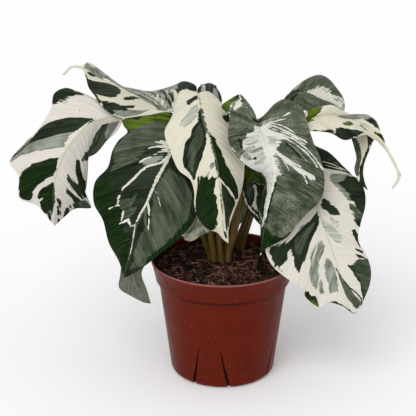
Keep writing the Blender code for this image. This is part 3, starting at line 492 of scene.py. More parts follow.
leafMarks = {
    "far_left": dict(ground="cream", blush=0.9, marks=[
        area("dark", 1, (-110, 31), (-110, 24), (-83, 25), (-64, 25), (-65, 27), (-73, 28), (-73, 30),
             (-72, 32), (-84, 33), (-90, 35), (-100, 36)),
        area("pale", 1, (-80, 31), (-74, 30), (-70, 31), (-76, 32)),
        area("pale", 1, (-90, 34), (-78, 33), (-75, 34), (-86, 35)),
        area("grey", 1, (-9, 47), (-11, 54), (-13, 58), (-8, 65), (-29, 65), (-52, 65), (-72, 65), (-84, 64),
             (-110, 66), (-110, 64), (-100, 53), (-73, 52), (-45, 53), (-18, 52)),
        area("dark", 2.2, (-2, 41), (-24, 43), (-55, 44), (-75, 45), (-91, 46), (-96, 48), (-91, 55), (-68, 56),
             (-39, 55), (-11, 54), (-2, 48)),
        line("dark", 0.7, (-8, 54), (-39, 55), (-67, 56), (-89, 56), (-92, 61), (-110, 66)),
        area("dark", 1.6, (-4, 68), (-10, 70), (-24, 70), (-46, 70), (-66, 70), (-83, 71), (-99, 72),
             (-110, 73), (-96, 78), (-98, 81), (-96, 83), (-88, 85), (-71, 83), (-54, 81), (-42, 80), (-26, 79),
             (-10, 79), (-4, 77), (-7, 72)),
        area("rich", 1, (-23, 71), (-47, 71), (-68, 72), (-90, 72), (-94, 76), (-94, 82), (-83, 83), (-62, 81),
             (-46, 79), (-30, 78), (-14, 76), (-13, 73)),
        area("dark", 1.6, (-4, 81), (-19, 82), (-35, 82), (-48, 83), (-68, 86), (-64, 87), (-51, 87), (-79, 88),
             (-94, 90), (-110, 93), (-78, 94), (-110, 97), (-110, 98), (-37, 96), (-3, 94), (12, 90), (9, 88),
             (3, 85)),
        area("rich", 1, (-7, 83), (-29, 83), (-47, 84), (-59, 86), (-43, 87), (-68, 88), (-86, 90), (-83, 92),
             (-16, 93), (6, 90), (4, 87)),
        area("grey", 1, (-52, 93), (-11, 93), (-20, 95), (-59, 95)),
        line("cream", 0.5, (13, 88), (15, 91), (4, 95), (5, 100)),
        area("cream", 2, (14, 90), (30, 92), (91, 98), (0, 100), (-110, 98), (-13, 95)),
        area("dark", 1.6, (16, 88), (34, 87), (53, 88), (40, 89), (21, 89)),
        area("dark", 1.6, (25, 91), (35, 90), (67, 93), (62, 94), (42, 95)),
        area("rich", 1.6, (32, 89), (47, 89), (73, 92), (74, 94), (48, 91)),
        area("dark", 2, (56, 96), (66, 95), (95, 95), (110, 98)),
        area("dark", 1.6, (82, 90), (74, 88), (82, 86), (110, 88), (110, 92), (93, 92)),
        area("dark", 2, (76, 85), (86, 84), (95, 85), (89, 86)),
        area("moss", 1.4, (13, 29), (14, 36), (24, 39), (36, 42), (52, 41), (41, 51), (34, 57), (38, 61),
             (110, 33), (110, 27), (92, 22), (94, 16), (47, 20)),
        area("grey", 1, (14, 30), (13, 27), (19, 10), (61, 14), (77, 17), (62, 26), (35, 32)),
        line("dark", 0.5, (-49, 37), (-46, 38)),
        line("dark", 0.5, (13, 29), (15, 36), (26, 39), (37, 42), (54, 40)),
        area("dark", 1.6, (27, 64), (38, 70), (49, 73), (66, 74), (76, 74), (110, 59), (110, 57), (61, 63),
             (48, 63), (34, 62)),
        area("rich", 1, (49, 64), (63, 63), (88, 60), (68, 72), (56, 71), (50, 68)),
        area("dark", 1.3, (22, 74), (30, 74), (43, 74), (56, 74), (72, 74), (81, 74), (79, 76), (65, 77),
             (51, 78), (39, 77), (26, 76)),
        area("dark", 1.3, (37, 80), (56, 79), (79, 77), (110, 72), (110, 74), (99, 80), (110, 85), (83, 82),
             (63, 83), (56, 82), (45, 82)),
        line("cream", 0.6, (33, 83), (58, 82), (83, 82)),
        area("moss", 1, (81, 82), (79, 76), (83, 73), (110, 72), (99, 75), (98, 80)),
        line("cream", 0.45, (-4, 24), (-4, 41), (-7, 51), (-8, 58), (-7, 63), (-8, 70), (-4, 77), (3, 83),
             (13, 89)),
    ]),
    "upper_left": dict(ground="cream", blush=0.15, freckle=0.45, marks=[
        area("grey", 1, (-18, 92), (-110, 86), (-65, 83), (-110, 72), (-68, 67), (-85, 57), (-110, 50),
             (-110, 42), (-93, 33), (-110, 23), (-110, 18), (-48, 28), (64, 10), (9, 41), (1, 55), (-10, 62),
             (-9, 70), (-24, 77), (41, 81), (78, 85)),
        line("cream", 0.6, (-45, 81), (-52, 70), (-39, 59), (-6, 43)),
        line("cream", 0.5, (-80, 54), (-33, 45), (0, 33)),
        line("moss", 0.8, (-43, 86), (-31, 79), (-19, 71), (-17, 52), (37, 22)),
        line("moss", 1, (-70, 67), (-110, 53), (-39, 43)),
        line("cream", 0.5, (-62, 55), (-40, 49), (-8, 37)),
        line("cream", 0.5, (-110, 48), (-38, 44), (-4, 32)),
        line("dark", 0.6, (-88, 43), (-33, 37), (-6, 26)),
        line("cream", 0.5, (-88, 41), (-34, 34), (-6, 23)),
        area("cream", 1.5, (-70, 36), (-59, 31), (94, 1), (84, 3)),
        line("dark", 0.8, (-54, 36), (-19, 27)),
        line("dark", 0.8, (-59, 31), (-9, 14)),
        area("dark", 1.5, (-87, 33), (-110, 30), (-96, 24), (-110, 21), (-110, 18), (-72, 19), (-66, 26),
             (-48, 27)),
        line("dark", 0.9, (-50, 76), (-55, 75)),
        area("dark", 2, (63, 87), (27, 85), (13, 82), (71, 79), (84, 82)),
        area("cream", 1.5, (110, 83), (71, 79), (-12, 80), (-18, 75), (-4, 69), (-8, 73), (65, 72), (94, 74)),
        area("dark", 1.8, (98, 80), (93, 74), (75, 72), (29, 74), (5, 72), (26, 65), (63, 54), (75, 54),
             (90, 56), (96, 58), (96, 49), (110, 48), (110, 62)),
        area("dark", 1.2, (97, 51), (79, 49), (70, 46), (62, 42), (74, 39), (89, 40), (110, 38), (100, 45)),
        area("grey", 1, (95, 42), (78, 40), (60, 36), (44, 28), (79, 27), (94, 32), (99, 36)),
        area("dark", 2.2, (55, 52), (39, 55), (11, 59), (4, 56), (35, 51), (51, 50)),
        area("dark", 2, (71, 44), (57, 44), (47, 43), (59, 39), (69, 41)),
        line("cream", 0.5, (95, 57), (88, 52), (75, 51), (58, 52)),
        area("cream", 1.5, (0, 100), (-82, 94), (-84, 90), (78, 85), (110, 88), (78, 94)),
    ]),
    "front_left": dict(ground="dark", blush=0.2, freckle=0.2, snow=0.4, marks=[
        area("moss", 0.8, (-96, 30), (-50, 24), (-23, 20), (-9, 42), (-40, 43), (-47, 50), (-71, 54), (-86, 55),
             (-100, 43)),
        area("moss", 0.7, (0, 69), (7, 54), (42, 49), (72, 49), (97, 62), (110, 75), (97, 90), (54, 97),
             (22, 91), (21, 82), (24, 77)),
        area("rich", 0.7, (-110, 57), (-84, 57), (-68, 65), (-64, 72), (-60, 79), (-34, 85), (-10, 91),
             (-17, 98), (-92, 89), (-110, 84), (-93, 77), (-95, 68), (-110, 67)),
        area("rich", 1, (110, 86), (110, 75), (110, 64), (110, 52), (90, 54), (90, 63), (91, 74), (88, 86)),
        area("limeGlow", 2.5, (-110, 26), (-97, 24), (-95, 23), (-75, 25), (-78, 27), (-95, 30), (-110, 28)),
        area("limeGlow", 2, (-96, 30), (-74, 24), (-87, 18), (-86, 11), (-110, 2), (-22, 14), (-29, 23), (-46, 24),
             (-63, 27), (-79, 29)),
        line("cream", 0.53, (-12, 44), (-24, 43), (-39, 44)),
        line("cream", 0.46, (-15, 41), (-30, 40)),
        area("cream", 1.5, (-24, 39), (-6, 40), (0, 48), (-14, 46), (-28, 49), (-38, 52), (-44, 51), (-32, 49),
             (-22, 47), (-11, 44)),
        area("grey", 1, (-10, 48), (-28, 49), (-38, 52), (-35, 54), (-23, 56), (-13, 54), (-6, 51)),
        line("cream", 0.59, (-10, 46), (-24, 48), (-37, 51), (-41, 52)),
        line("cream", 0.86, (0, 48), (-8, 54), (-26, 56), (-32, 59)),
        line("cream", 0.59, (-32, 59), (-38, 62), (-47, 64), (-55, 67), (-62, 71)),
        area("moss", 1.6, (-57, 69), (-41, 69), (-35, 70), (-23, 67), (-29, 72), (-34, 74), (-19, 74),
             (-22, 77), (-32, 78), (-29, 80), (-51, 78), (-51, 75), (-63, 72)),
        line("cream", 0.53, (-79, 71), (-61, 71), (-52, 74), (-55, 78)),
        line("cream", 0.59, (-60, 79), (-35, 79), (-19, 82), (-5, 82)),
        line("cream", 0.92, (0, 49), (0, 55), (0, 63)),
        line("cream", 0.86, (0, 63), (-2, 69), (-3, 73)),
        line("cream", 0.66, (-3, 73), (-5, 78), (-5, 82), (0, 87), (2, 92)),
        line("pale", 0.8, (2, 92), (-2, 97), (0, 100)),
        line("cream", 0.46, (-1, 73), (18, 76), (34, 79)),
        line("moss", 1.3, (3, 76), (20, 79), (38, 80)),
        line("cream", 0.4, (4, 67), (20, 68), (29, 69)),
    ]),
    "front": dict(ground="cream", blush=0.25, marks=[
        area("dark", 2, (-34, 32), (-38, 26), (-22, 24), (-5, 20), (-4, 30), (-19, 33), (-25, 35)),
        area("pale", 1.4, (-6, 37), (-4, 42), (-13, 46), (-29, 47), (-43, 46), (-55, 43), (-50, 41), (-37, 40),
             (-22, 38), (-11, 37)),
        area("dark", 1.8, (-1, 42), (-10, 46), (-10, 49), (-28, 50), (-35, 52), (-50, 52), (-65, 53), (-77, 55),
             (-86, 57), (-90, 60), (-92, 64), (-82, 66), (-62, 65), (-39, 64), (-19, 62), (-7, 60), (2, 55),
             (2, 49), (1, 43)),
        area("moss", 0.8, (-6, 50), (-25, 52), (-47, 54), (-70, 57), (-81, 59), (-84, 63), (-55, 62), (-22, 61),
             (-5, 56)),
        area("rich", 1.2, (-2, 43), (-9, 46), (-7, 49), (1, 49)),
        area("grey", 1.2, (-18, 69), (-7, 71), (-18, 72), (-30, 73), (-38, 75), (-42, 72), (-27, 71)),
        area("rich", 1.3, (-69, 67), (-51, 70), (-40, 72), (-28, 74), (-17, 75), (-9, 77), (-21, 80), (-16, 82),
             (-20, 87), (-53, 91), (-88, 91), (-110, 88), (-110, 83), (-98, 77), (-85, 72)),
        line("cream", 0.6, (-60, 68), (-65, 70)),
        area("cream", 2, (-6, 76), (4, 76), (1, 84), (4, 90), (13, 94), (70, 97), (0, 100), (-110, 98),
             (-77, 93), (-54, 92), (-22, 88), (-14, 83)),
        line("limeGlow", 0.6, (-2, 83), (-3, 89), (-16, 93), (-22, 96)),
        area("dark", 1.6, (2, 57), (8, 58), (16, 59), (13, 62), (21, 64), (12, 66), (28, 67), (30, 69),
             (44, 70), (62, 71), (79, 72), (97, 75), (79, 78), (50, 78), (18, 78), (1, 76), (-3, 70), (-1, 63)),
        area("rich", 1, (7, 60), (17, 64), (23, 69), (52, 72), (71, 74), (46, 76), (11, 75), (3, 69)),
        area("dark", 2.2, (6, 77), (24, 78), (57, 79), (89, 78), (89, 82), (86, 87), (98, 91), (13, 96),
             (18, 89), (7, 84)),
        area("dark", 2, (49, 38), (66, 33), (89, 28), (63, 40), (50, 41)),
        area("rich", 2.5, (-28, 95), (4, 96), (27, 98), (-43, 98)),
        line("pale", 0.5, (0, 29), (2, 45), (1, 57), (-4, 66), (-2, 77), (3, 83), (10, 90)),
        line("cream", 0.75, (0, 77), (22, 78), (53, 78), (81, 78), (110, 78)),
    ]),
    "front_right": dict(ground="moss", blush=0.3, freckle=0.9, snow=0.85, marks=[
        area("limeGlow", 2, (-110, 23), (-110, 20), (-110, 18), (-110, 14), (-110, 13), (-94, 16), (-93, 18),
             (-88, 21), (-91, 24)),
        area("rich", 2.4, (-110, 15), (-110, 13), (-110, 12), (-90, 14), (-91, 15), (-94, 15)),
        area("cream", 2, (-83, 20), (-87, 18), (-84, 16), (-79, 16), (-74, 18), (-76, 20), (-75, 22)),
        area("rich", 1.4, (-33, 18), (22, 12), (11, 17), (-22, 21)),
        line("cream", 0.45, (-110, 12), (-88, 15), (-90, 19), (-82, 23), (-110, 32), (-110, 38), (-99, 42),
             (-91, 47), (-84, 53), (-80, 60), (-56, 66)),
        line("dark", 0.9, (-73, 40), (-67, 41), (-75, 43)),
        area("cream", 1.2, (-26, 24), (-22, 29), (8, 24), (13, 31), (24, 38), (32, 41), (23, 45), (16, 47),
             (7, 50), (9, 56), (11, 63), (4, 65), (2, 69), (-35, 69), (-62, 65), (-82, 60), (-110, 56),
             (-110, 52), (-110, 49), (-92, 46), (-75, 45), (-70, 43), (-70, 42), (-53, 39), (-47, 37),
             (-30, 35)),
        area("pale", 0.9, (-58, 40), (-36, 39), (-20, 38), (-16, 41), (-31, 44), (-51, 44), (-62, 43)),
        area("grey", 0.9, (-59, 44), (-36, 45), (-19, 45), (-18, 48), (-44, 48), (-71, 46)),
        area("pale", 0.9, (-58, 49), (-22, 50), (-19, 54), (-55, 56), (-77, 53)),
        area("grey", 0.8, (-80, 46), (-61, 47), (-71, 50), (-90, 49)),
        area("pale", 0.9, (5, 40), (18, 40), (23, 43), (15, 46), (2, 46)),
        line("cream", 0.35, (-59, 42), (-39, 42), (-9, 38), (6, 36)),
        line("cream", 0.35, (-66, 45), (-40, 46), (-9, 45)),
        line("cream", 0.35, (-72, 48), (-46, 50), (-9, 49)),
        line("cream", 0.35, (-74, 52), (-45, 53), (-5, 51)),
        line("dark", 0.7, (-62, 51), (-56, 51)),
        line("cream", 0.5, (11, 19), (24, 23), (41, 26), (67, 25)),
        line("cream", 0.35, (10, 21), (30, 27), (55, 28)),
        line("cream", 0.45, (9, 23), (28, 29), (47, 33), (64, 37)),
        line("cream", 0.7, (8, 25), (22, 30), (41, 35), (63, 39), (82, 41)),
        line("cream", 0.5, (9, 27), (24, 34), (42, 37), (61, 40), (74, 43)),
        area("cream", 1.6, (7, 28), (17, 34), (32, 38), (46, 41), (37, 42), (25, 41), (9, 37)),
        line("cream", 0.7, (32, 38), (54, 41), (69, 44), (83, 48), (94, 51), (110, 53)),
        line("cream", 0.5, (37, 41), (56, 45), (71, 48), (85, 52)),
        line("dark", 0.5, (33, 44), (41, 47), (52, 51)),
        line("grey", 0.6, (40, 45), (52, 48), (65, 52)),
        line("cream", 0.9, (5, 49), (17, 53), (32, 55), (50, 56)),
        line("cream", 0.9, (7, 50), (22, 55), (42, 57), (61, 58), (78, 58)),
        line("cream", 0.6, (26, 56), (41, 58), (56, 59), (63, 62)),
        line("cream", 0.5, (40, 57), (56, 57), (72, 60)),
        line("cream", 0.4, (11, 52), (22, 57), (28, 60)),
        area("pale", 0.9, (4, 53), (12, 54), (13, 58), (8, 62), (5, 60)),
        area("grey", 1, (5, 60), (13, 58), (20, 62), (11, 64)),
        area("cream", 2, (-38, 69), (2, 68), (3, 71), (1, 75), (2, 80), (4, 84), (-14, 89), (-35, 90),
             (-11, 84), (-15, 79), (-17, 74)),
        line("dark", 0.6, (4, 69), (3, 75), (5, 81), (7, 86)),
        area("rich", 1.4, (-34, 70), (-56, 74), (-78, 77), (-85, 79), (-33, 83), (-16, 85), (-16, 81),
             (-20, 76)),
        line("cream", 0.45, (-44, 70), (-85, 75), (-85, 79), (-59, 83), (-17, 86)),
        area("rich", 1, (-34, 89), (14, 89), (55, 90), (91, 88), (97, 84), (110, 79), (110, 76), (110, 82),
             (110, 89), (110, 94), (110, 98), (0, 100), (-65, 95)),
        line("cream", 0.8, (110, 99), (0, 100)),
    ]),
    "upper_right": dict(ground="grey", blush=0.2, freckle=0.5, snow=0.5, marks=[
        area("moss", 1, (-16, 29), (6, 49), (41, 53), (92, 53), (110, 60), (110, 66), (110, 74), (110, 87),
             (110, 95), (52, 91), (52, 85), (57, 80), (48, 77), (40, 74), (33, 71), (18, 67), (1, 62),
             (-24, 43)),
        area("cream", 0.8, (-26, 50), (10, 64), (20, 67), (38, 70), (46, 74), (58, 78), (53, 83), (53, 86),
             (93, 88), (92, 92), (0, 100), (-63, 94), (-71, 78), (-67, 63), (-46, 53)),
        line("dark", 0.5, (40, 71), (37, 78)),
        line("dark", 0.6, (50, 76), (48, 84)),
        line("dark", 0.6, (31, 85), (43, 90)),
        line("dark", 0.5, (53, 87), (78, 93)),
        area("moss", 1, (92, 7), (31, 40), (7, 49), (1, 65), (-49, 60), (-52, 73), (-33, 87), (29, 98),
             (0, 100), (-110, 91), (-110, 62), (-110, 42), (-110, 25), (-110, 18), (-90, 11), (-22, 24)),
        area("rich", 1.3, (88, 5), (110, 18), (21, 44), (4, 54), (-9, 45), (-13, 36), (-23, 26), (-90, 11),
             (-24, 16)),
    ]),
    "right_tailed": dict(ground="cream", blush=0.3, marks=[
        area("limeGlow", 1.6, (110, 2), (97, 15), (55, 19), (-22, 24), (-36, 11), (32, 8)),
        area("grey", 1.1, (-19, 50), (55, 43), (82, 42), (97, 43), (110, 47), (110, 51), (84, 52), (70, 51),
             (44, 53), (-5, 58)),
        area("dark", 1.4, (70, 51), (86, 51), (110, 49), (110, 53), (110, 59), (90, 57), (79, 54)),
        area("moss", 1, (91, 49), (110, 48), (110, 53), (100, 58), (94, 54)),
        area("limeGlow", 2, (-53, 42), (-46, 47), (-30, 55), (-57, 52), (-65, 46), (-58, 43)),
        area("grey", 1.6, (-33, 60), (10, 68), (65, 63), (-38, 66), (-45, 61)),
        area("dark", 2, (-98, 9), (-110, 15), (-110, 20), (-59, 36), (-63, 39), (-81, 45), (-92, 50),
             (-100, 42), (-98, 37), (-110, 32), (-110, 28), (-110, 22), (-110, 18), (-110, 10)),
        area("rich", 1.5, (78, 63), (98, 60), (110, 63), (110, 66), (93, 66), (-1, 76)),
        line("dark", 0.5, (-3, 74), (91, 67), (110, 69)),
        line("dark", 1.2, (-110, 8), (-110, 12), (-100, 18), (-69, 30)),
        line("dark", 0.7, (-14, 94), (110, 90)),
        area("dark", 0.8, (-110, 2), (-96, 6), (-93, 16), (-92, 34), (-110, 44)),
    ]),
    "lower_right": dict(ground="cream", blush=0.8, marks=[
        area("dark", 1.5, (-91, 40), (-62, 48), (-46, 49), (-17, 51), (0, 52), (-8, 58), (-23, 59), (-36, 59),
             (-49, 60), (-65, 61), (-72, 60), (-85, 61), (-87, 60), (-83, 58), (-73, 55), (-72, 53), (-68, 51),
             (-72, 50), (-79, 52), (-88, 52), (-94, 50), (-97, 52), (-98, 50), (-97, 46), (-94, 43)),
        area("moss", 0.8, (-55, 50), (-34, 52), (-13, 54), (-13, 57), (-37, 57), (-58, 58), (-73, 58),
             (-66, 54)),
        line("dark", 0.9, (-2, 52), (-16, 58), (-38, 59), (-64, 60)),
        line("cream", 0.7, (-100, 39), (-99, 44), (-99, 48), (-99, 52)),
        area("grey", 1.1, (-48, 63), (-32, 63), (-17, 64), (-15, 69), (-24, 70), (-41, 70), (-58, 73),
             (-75, 74), (-77, 72), (-75, 69), (-71, 65)),
        line("pale", 0.8, (-25, 64), (-43, 65), (-56, 66)),
        area("grey", 1.2, (-56, 74), (-53, 75), (-76, 78), (-77, 76), (-66, 74)),
        area("grey", 1.1, (-21, 72), (-14, 76), (-14, 81), (-25, 84), (-60, 86), (-75, 82), (-56, 80),
             (-43, 76), (-30, 74)),
        area("pale", 1, (2, 58), (15, 59), (35, 62), (47, 65), (34, 70), (18, 70), (5, 66), (0, 63)),
        area("pale", 1, (19, 54), (48, 58), (44, 61), (24, 59)),
        area("grey", 1, (67, 20), (80, 23), (99, 25), (80, 28), (67, 31), (66, 36), (75, 42), (68, 45),
             (58, 40), (49, 35), (44, 31), (47, 25)),
        area("dark", 1.6, (6, 48), (17, 42), (29, 46), (27, 47), (41, 49), (47, 53), (33, 54), (24, 54),
             (17, 51), (10, 50)),
        area("dark", 1.4, (55, 32), (67, 31), (84, 26), (99, 27), (110, 32), (110, 35), (110, 43), (110, 49),
             (99, 50), (87, 48), (74, 43), (67, 38), (59, 34)),
        area("moss", 1, (67, 45), (79, 46), (110, 50), (110, 57), (92, 55), (81, 52), (69, 48)),
        area("dark", 1.6, (91, 52), (110, 51), (110, 56), (93, 55)),
        area("dark", 2, (79, 59), (90, 58), (110, 62), (91, 68), (91, 64), (85, 61)),
        line("dark", 0.9, (71, 71), (88, 71)),
        area("dark", 2, (64, 74), (78, 73), (94, 74), (82, 75), (68, 75)),
        area("moss", 1.2, (32, 81), (51, 79), (71, 76), (110, 73), (110, 78), (110, 83), (110, 89), (110, 97),
             (75, 93), (65, 88), (45, 85), (35, 82)),
        line("dark", 0.8, (33, 81), (48, 84), (66, 88), (78, 93), (110, 98)),
        area("moss", 1.5, (-11, 82), (-6, 86), (6, 89), (22, 95), (110, 99), (-93, 99), (-51, 95), (-49, 91),
             (-18, 87), (-12, 85)),
        line("dark", 0.8, (-10, 82), (1, 87), (13, 91), (110, 99)),
        line("cream", 0.7, (0, 51), (-5, 65), (-6, 76), (-1, 84)),
        area("dark", 2, (-98, 66), (-90, 69), (-90, 71), (-87, 75), (-110, 79), (-110, 78), (-110, 74),
             (-110, 71)),
        area("limeGlow", 2, (-110, 69), (-96, 72), (-95, 76), (-110, 78), (-110, 78), (-110, 74)),
        area("dark", 2, (-110, 82), (-96, 83), (-92, 86), (-97, 89), (-92, 93), (-97, 97), (-110, 96),
             (-110, 92), (-110, 88), (-110, 82)),
        area("limeGlow", 2, (-110, 82), (-110, 88), (-110, 92), (-110, 97), (-110, 96), (-110, 88)),
    ]),
    "inner_young": dict(ground="dark", blush=0.2, marks=[
        area("limeGlow", 1.2, (-65, 21), (68, 31), (87, 44), (52, 50), (-15, 52), (-45, 49)),
        area("moss", 1.2, (-59, 45), (-5, 57), (-33, 68), (-70, 67), (-76, 56)),
        line("cream", 0.6, (-89, 44), (-92, 53), (-90, 65), (-79, 77), (-40, 89), (-62, 95)),
        area("cream", 2.4, (-19, 59), (7, 61), (12, 70), (-15, 77), (-2, 84), (3, 88), (-46, 80), (-69, 72),
             (-22, 72), (-11, 66)),
        line("pale", 0.5, (-20, 55), (23, 57), (66, 50)),
        area("rich", 2, (44, 57), (65, 54), (22, 75), (32, 83), (8, 78)),
    ]),
    "low_left": dict(ground="dark", blush=0.2, marks=[
        line("grey", 0.8, (0, 5), (0, 95)),
        area("grey", 0.8, (20, 30), (60, 28), (100, 40), (70, 45), (30, 42)),
    ]),
    "right_hanging": dict(ground="cream", blush=0.4, marks=[
        area("moss", 1.5, (-110, 16), (-66, 23), (-27, 55), (5, 72), (-48, 85), (-110, 72), (-110, 49)),
        area("dark", 1.5, (29, 28), (110, 18), (81, 37), (110, 44), (82, 64), (65, 85), (0, 100), (-44, 88),
             (13, 74), (77, 45), (63, 38)),
        line("dark", 1.4, (-23, 88), (22, 93), (7, 98)),
        area("dark", 3, (-110, 84), (-40, 86), (110, 80), (110, 110), (-110, 110)),
    ]),
    "behind_right": dict(ground="dark", blush=0.2, marks=[
        line("cream", 0.6, (47, 51), (71, 51), (95, 55)),
        line("cream", 0.5, (41, 55), (62, 55), (82, 55)),
        line("pale", 0.4, (68, 46), (88, 49)),
    ]),
    "low_inner": dict(ground="cream", blush=0.6, marks=[
        area("grey", 0.9, (86, 84), (31, 83), (-40, 66), (-59, 49), (-66, 59), (-31, 82), (45, 95)),
        line("dark", 0.5, (28, 55), (-16, 65)),
        area("moss", 1, (-79, 63), (-110, 48), (-110, 56), (-110, 73), (-81, 79)),
    ]),
    "back_top": dict(ground="dark", blush=0.2, marks=[
        area("grey", 0.9, (-60, 20), (-10, 35), (-20, 55), (-90, 45)),
        area("pale", 1, (15, 40), (60, 35), (80, 55), (25, 60)),
        line("cream", 0.6, (10, 30), (50, 34), (90, 44)),
    ]),
    "back_left": dict(ground="cream", blush=0.5, marks=[
        area("dark", 1.3, (-100, 22), (-60, 24), (-14, 34), (-8, 48), (-50, 46), (-110, 40)),
        area("dark", 1.3, (8, 40), (40, 38), (90, 44), (110, 60), (70, 66), (30, 62), (6, 54)),
        area("grey", 1, (-110, 52), (-60, 54), (-10, 60), (-8, 70), (-60, 66), (-110, 64)),
        area("rich", 1.2, (-90, 70), (-30, 74), (-10, 82), (-40, 90), (-100, 84)),
        area("dark", 1.4, (10, 72), (50, 72), (100, 78), (60, 90), (16, 88)),
        area("pale", 1, (10, 18), (60, 14), (90, 26), (30, 30)),
        line("cream", 0.6, (-8, 40), (-50, 36), (-90, 34)),
    ]),
    "back_right": dict(ground="cream", blush=0.3, marks=[
        area("dark", 1.3, (100, 20), (60, 24), (12, 32), (8, 46), (50, 48), (110, 38)),
        area("dark", 1.3, (-8, 36), (-40, 34), (-96, 42), (-110, 58), (-60, 60), (-26, 56), (-6, 50)),
        area("grey", 1, (110, 50), (60, 54), (10, 58), (8, 66), (60, 68), (110, 62)),
        area("rich", 1.2, (90, 72), (30, 74), (8, 84), (40, 90), (100, 84)),
        area("moss", 1.2, (-10, 70), (-50, 66), (-104, 74), (-70, 88), (-12, 90)),
        area("pale", 1, (-10, 14), (-60, 12), (-90, 24), (-30, 26)),
        line("cream", 0.6, (-8, 44), (-50, 46), (-90, 50)),
    ]),
    "back_middle": dict(ground="grey", blush=0.4, marks=[
        area("cream", 1.2, (-10, 10), (10, 10), (8, 92), (0, 98), (-8, 92)),
        area("dark", 1.2, (-14, 20), (-60, 18), (-104, 36), (-70, 44), (-18, 38)),
        area("dark", 1.2, (16, 44), (60, 44), (106, 58), (60, 66), (14, 60)),
        area("cream", 1.2, (14, 16), (60, 18), (96, 30), (50, 36), (16, 34)),
        area("cream", 1.2, (-14, 52), (-60, 50), (-100, 60), (-60, 70), (-12, 68)),
        area("rich", 1.2, (-20, 76), (-70, 74), (-106, 84), (-30, 92)),
        area("moss", 1.2, (20, 76), (70, 76), (104, 84), (26, 92)),
    ]),
    "back_low": dict(ground="dark", blush=0.3, marks=[
        area("cream", 1.3, (-12, 30), (-60, 34), (-98, 46), (-40, 52), (-10, 46)),
        line("cream", 1, (0, 4), (0, 50), (0, 90)),
        area("grey", 1, (12, 20), (60, 22), (100, 40), (50, 42), (14, 36)),
        area("pale", 1.2, (14, 54), (60, 56), (96, 68), (40, 72), (12, 66)),
        area("rich", 1.2, (-20, 70), (-80, 68), (-106, 82), (-30, 90)),
    ]),
}


# moreRows, moreColumns: for the way along the curves of a blade. nearStem: the rows whose upward direction the
# stem's end takes. veinFade: how soon the veins' relief fades to the margin and to the ends. tails: share of the
# width drawn in, and from where on.
leafBuild = dict(
    rowPitch=0.85, columnPitch=1.15, moreRows=1.25, moreColumns=1.2, coarseRows=16, curveSteps=600,
    measureSteps=60, nearStem=slice(3, 6), aheadShare=0.01, archPlace=0.52, rippleShift=0.3,
    veinCrowding=2.0, veinLean=0.38, veinRelief=0.15, veinFade=(0.7, 0.3), thickness=0.62, edgeThickness=0.42,
    keelBase=1.4, keelTip=0.15, keelWidth=0.07, grooveDepth=0.3, grooveWidth=0.035, sharpAngle=55,
    groundDepth=6.0, depthLimit=8.0, tails=dict(right_tailed=(0.42, 0.66), upper_left=(0.35, 0.80)), tailRun=0.08,
)


def unit(vectors):
    return vectors / np.maximum(np.linalg.norm(vectors, axis=-1, keepdims=True), 1e-9)


def smoothCurve(points, steps):
    # A smooth curve through the points, read at even steps, or at the shares of its length in a list
    points = np.array(points, float)
    knots = np.concatenate([[0.0], np.cumsum(np.sqrt(np.linalg.norm(np.diff(points, axis=0), axis=1)))])
    tangents = np.gradient(points, knots, axis=0)
    at = np.linspace(0.0, knots[-1], leafBuild["curveSteps"])
    span = np.clip(np.searchsorted(knots, at, side="right") - 1, 0, len(knots) - 2)
    width = (knots[span + 1] - knots[span])[:, None]
    u = ((at - knots[span]) / width[:, 0])[:, None]
    curve = (
        (2 * u**3 - 3 * u**2 + 1) * points[span] + (u**3 - 2 * u**2 + u) * width * tangents[span]
        + (3 * u**2 - 2 * u**3) * points[span + 1] + (u**3 - u**2) * width * tangents[span + 1]
    )
    run = np.concatenate([[0.0], np.cumsum(np.linalg.norm(np.diff(curve, axis=0), axis=1))])
    even = np.asarray(steps) * run[-1] if np.ndim(steps) else np.linspace(0.0, run[-1], steps)
    return np.stack([np.interp(even, run, curve[:, k]) for k in range(3)], axis=1)


def bladeSurface(form, rows, stations):
    # Rows of points along the side veins, from the right margin over the midrib to the left margin, and the
    # blade's forward and upward directions at the stem
    b = leafBuild
    share = np.arange(rows) / rows
    ribShare = share ** b["veinCrowding"]
    rib = smoothCurve(form["midrib"], ribShare)
    forward = unit(smoothCurve(form["midrib"], ribShare + b["aheadShare"]) - rib)
    height, waves = form["wave"]
    halves, ups = [], []
    for name, side in (("right", -1), ("left", 1)):
        margin = smoothCurve([*form[name], form["midrib"][-1]], share)
        out = margin - rib
        up = unit(np.cross(forward, out)) * side
        ahead = (out * forward).sum(1, keepdims=True)
        across = out - ahead * forward
        reach = np.linalg.norm(across, axis=1, keepdims=True)
        arch = 2 * form["bulge"][side > 0] * (reach / reach.max())
        lean = b["veinLean"] * np.maximum(ahead, 0.0) * forward
        control = rib + b["archPlace"] * across + lean + arch * up
        ripple = height * np.sin(math.tau * (waves * share + b["rippleShift"] * side))[:, None]
        halves.append([
            (1 - t) ** 2 * rib + 2 * t * (1 - t) * control + t**2 * margin + 3 * t * t * (1 - t) * ripple * up
            for t in stations
        ])
        ups.append(up[b["nearStem"]].mean(0))
    return np.stack(halves[0][:0:-1] + halves[1], axis=1), forward[0], unit(ups[0] + ups[1])


def edgeDistance(spots, path, closed):
    # How far each spot is from a path, in mm
    ends = np.roll(path, -1, axis=0) if closed else path[1:]
    nearest = np.full(len(spots), 1e9)
    for first, second in zip(path, ends):
        step = second - first
        share = np.clip((spots - first) @ step / max(step @ step, 1e-9), 0, 1)
        nearest = np.minimum(nearest, np.linalg.norm(spots - first - share[:, None] * step, axis=1))
    return nearest


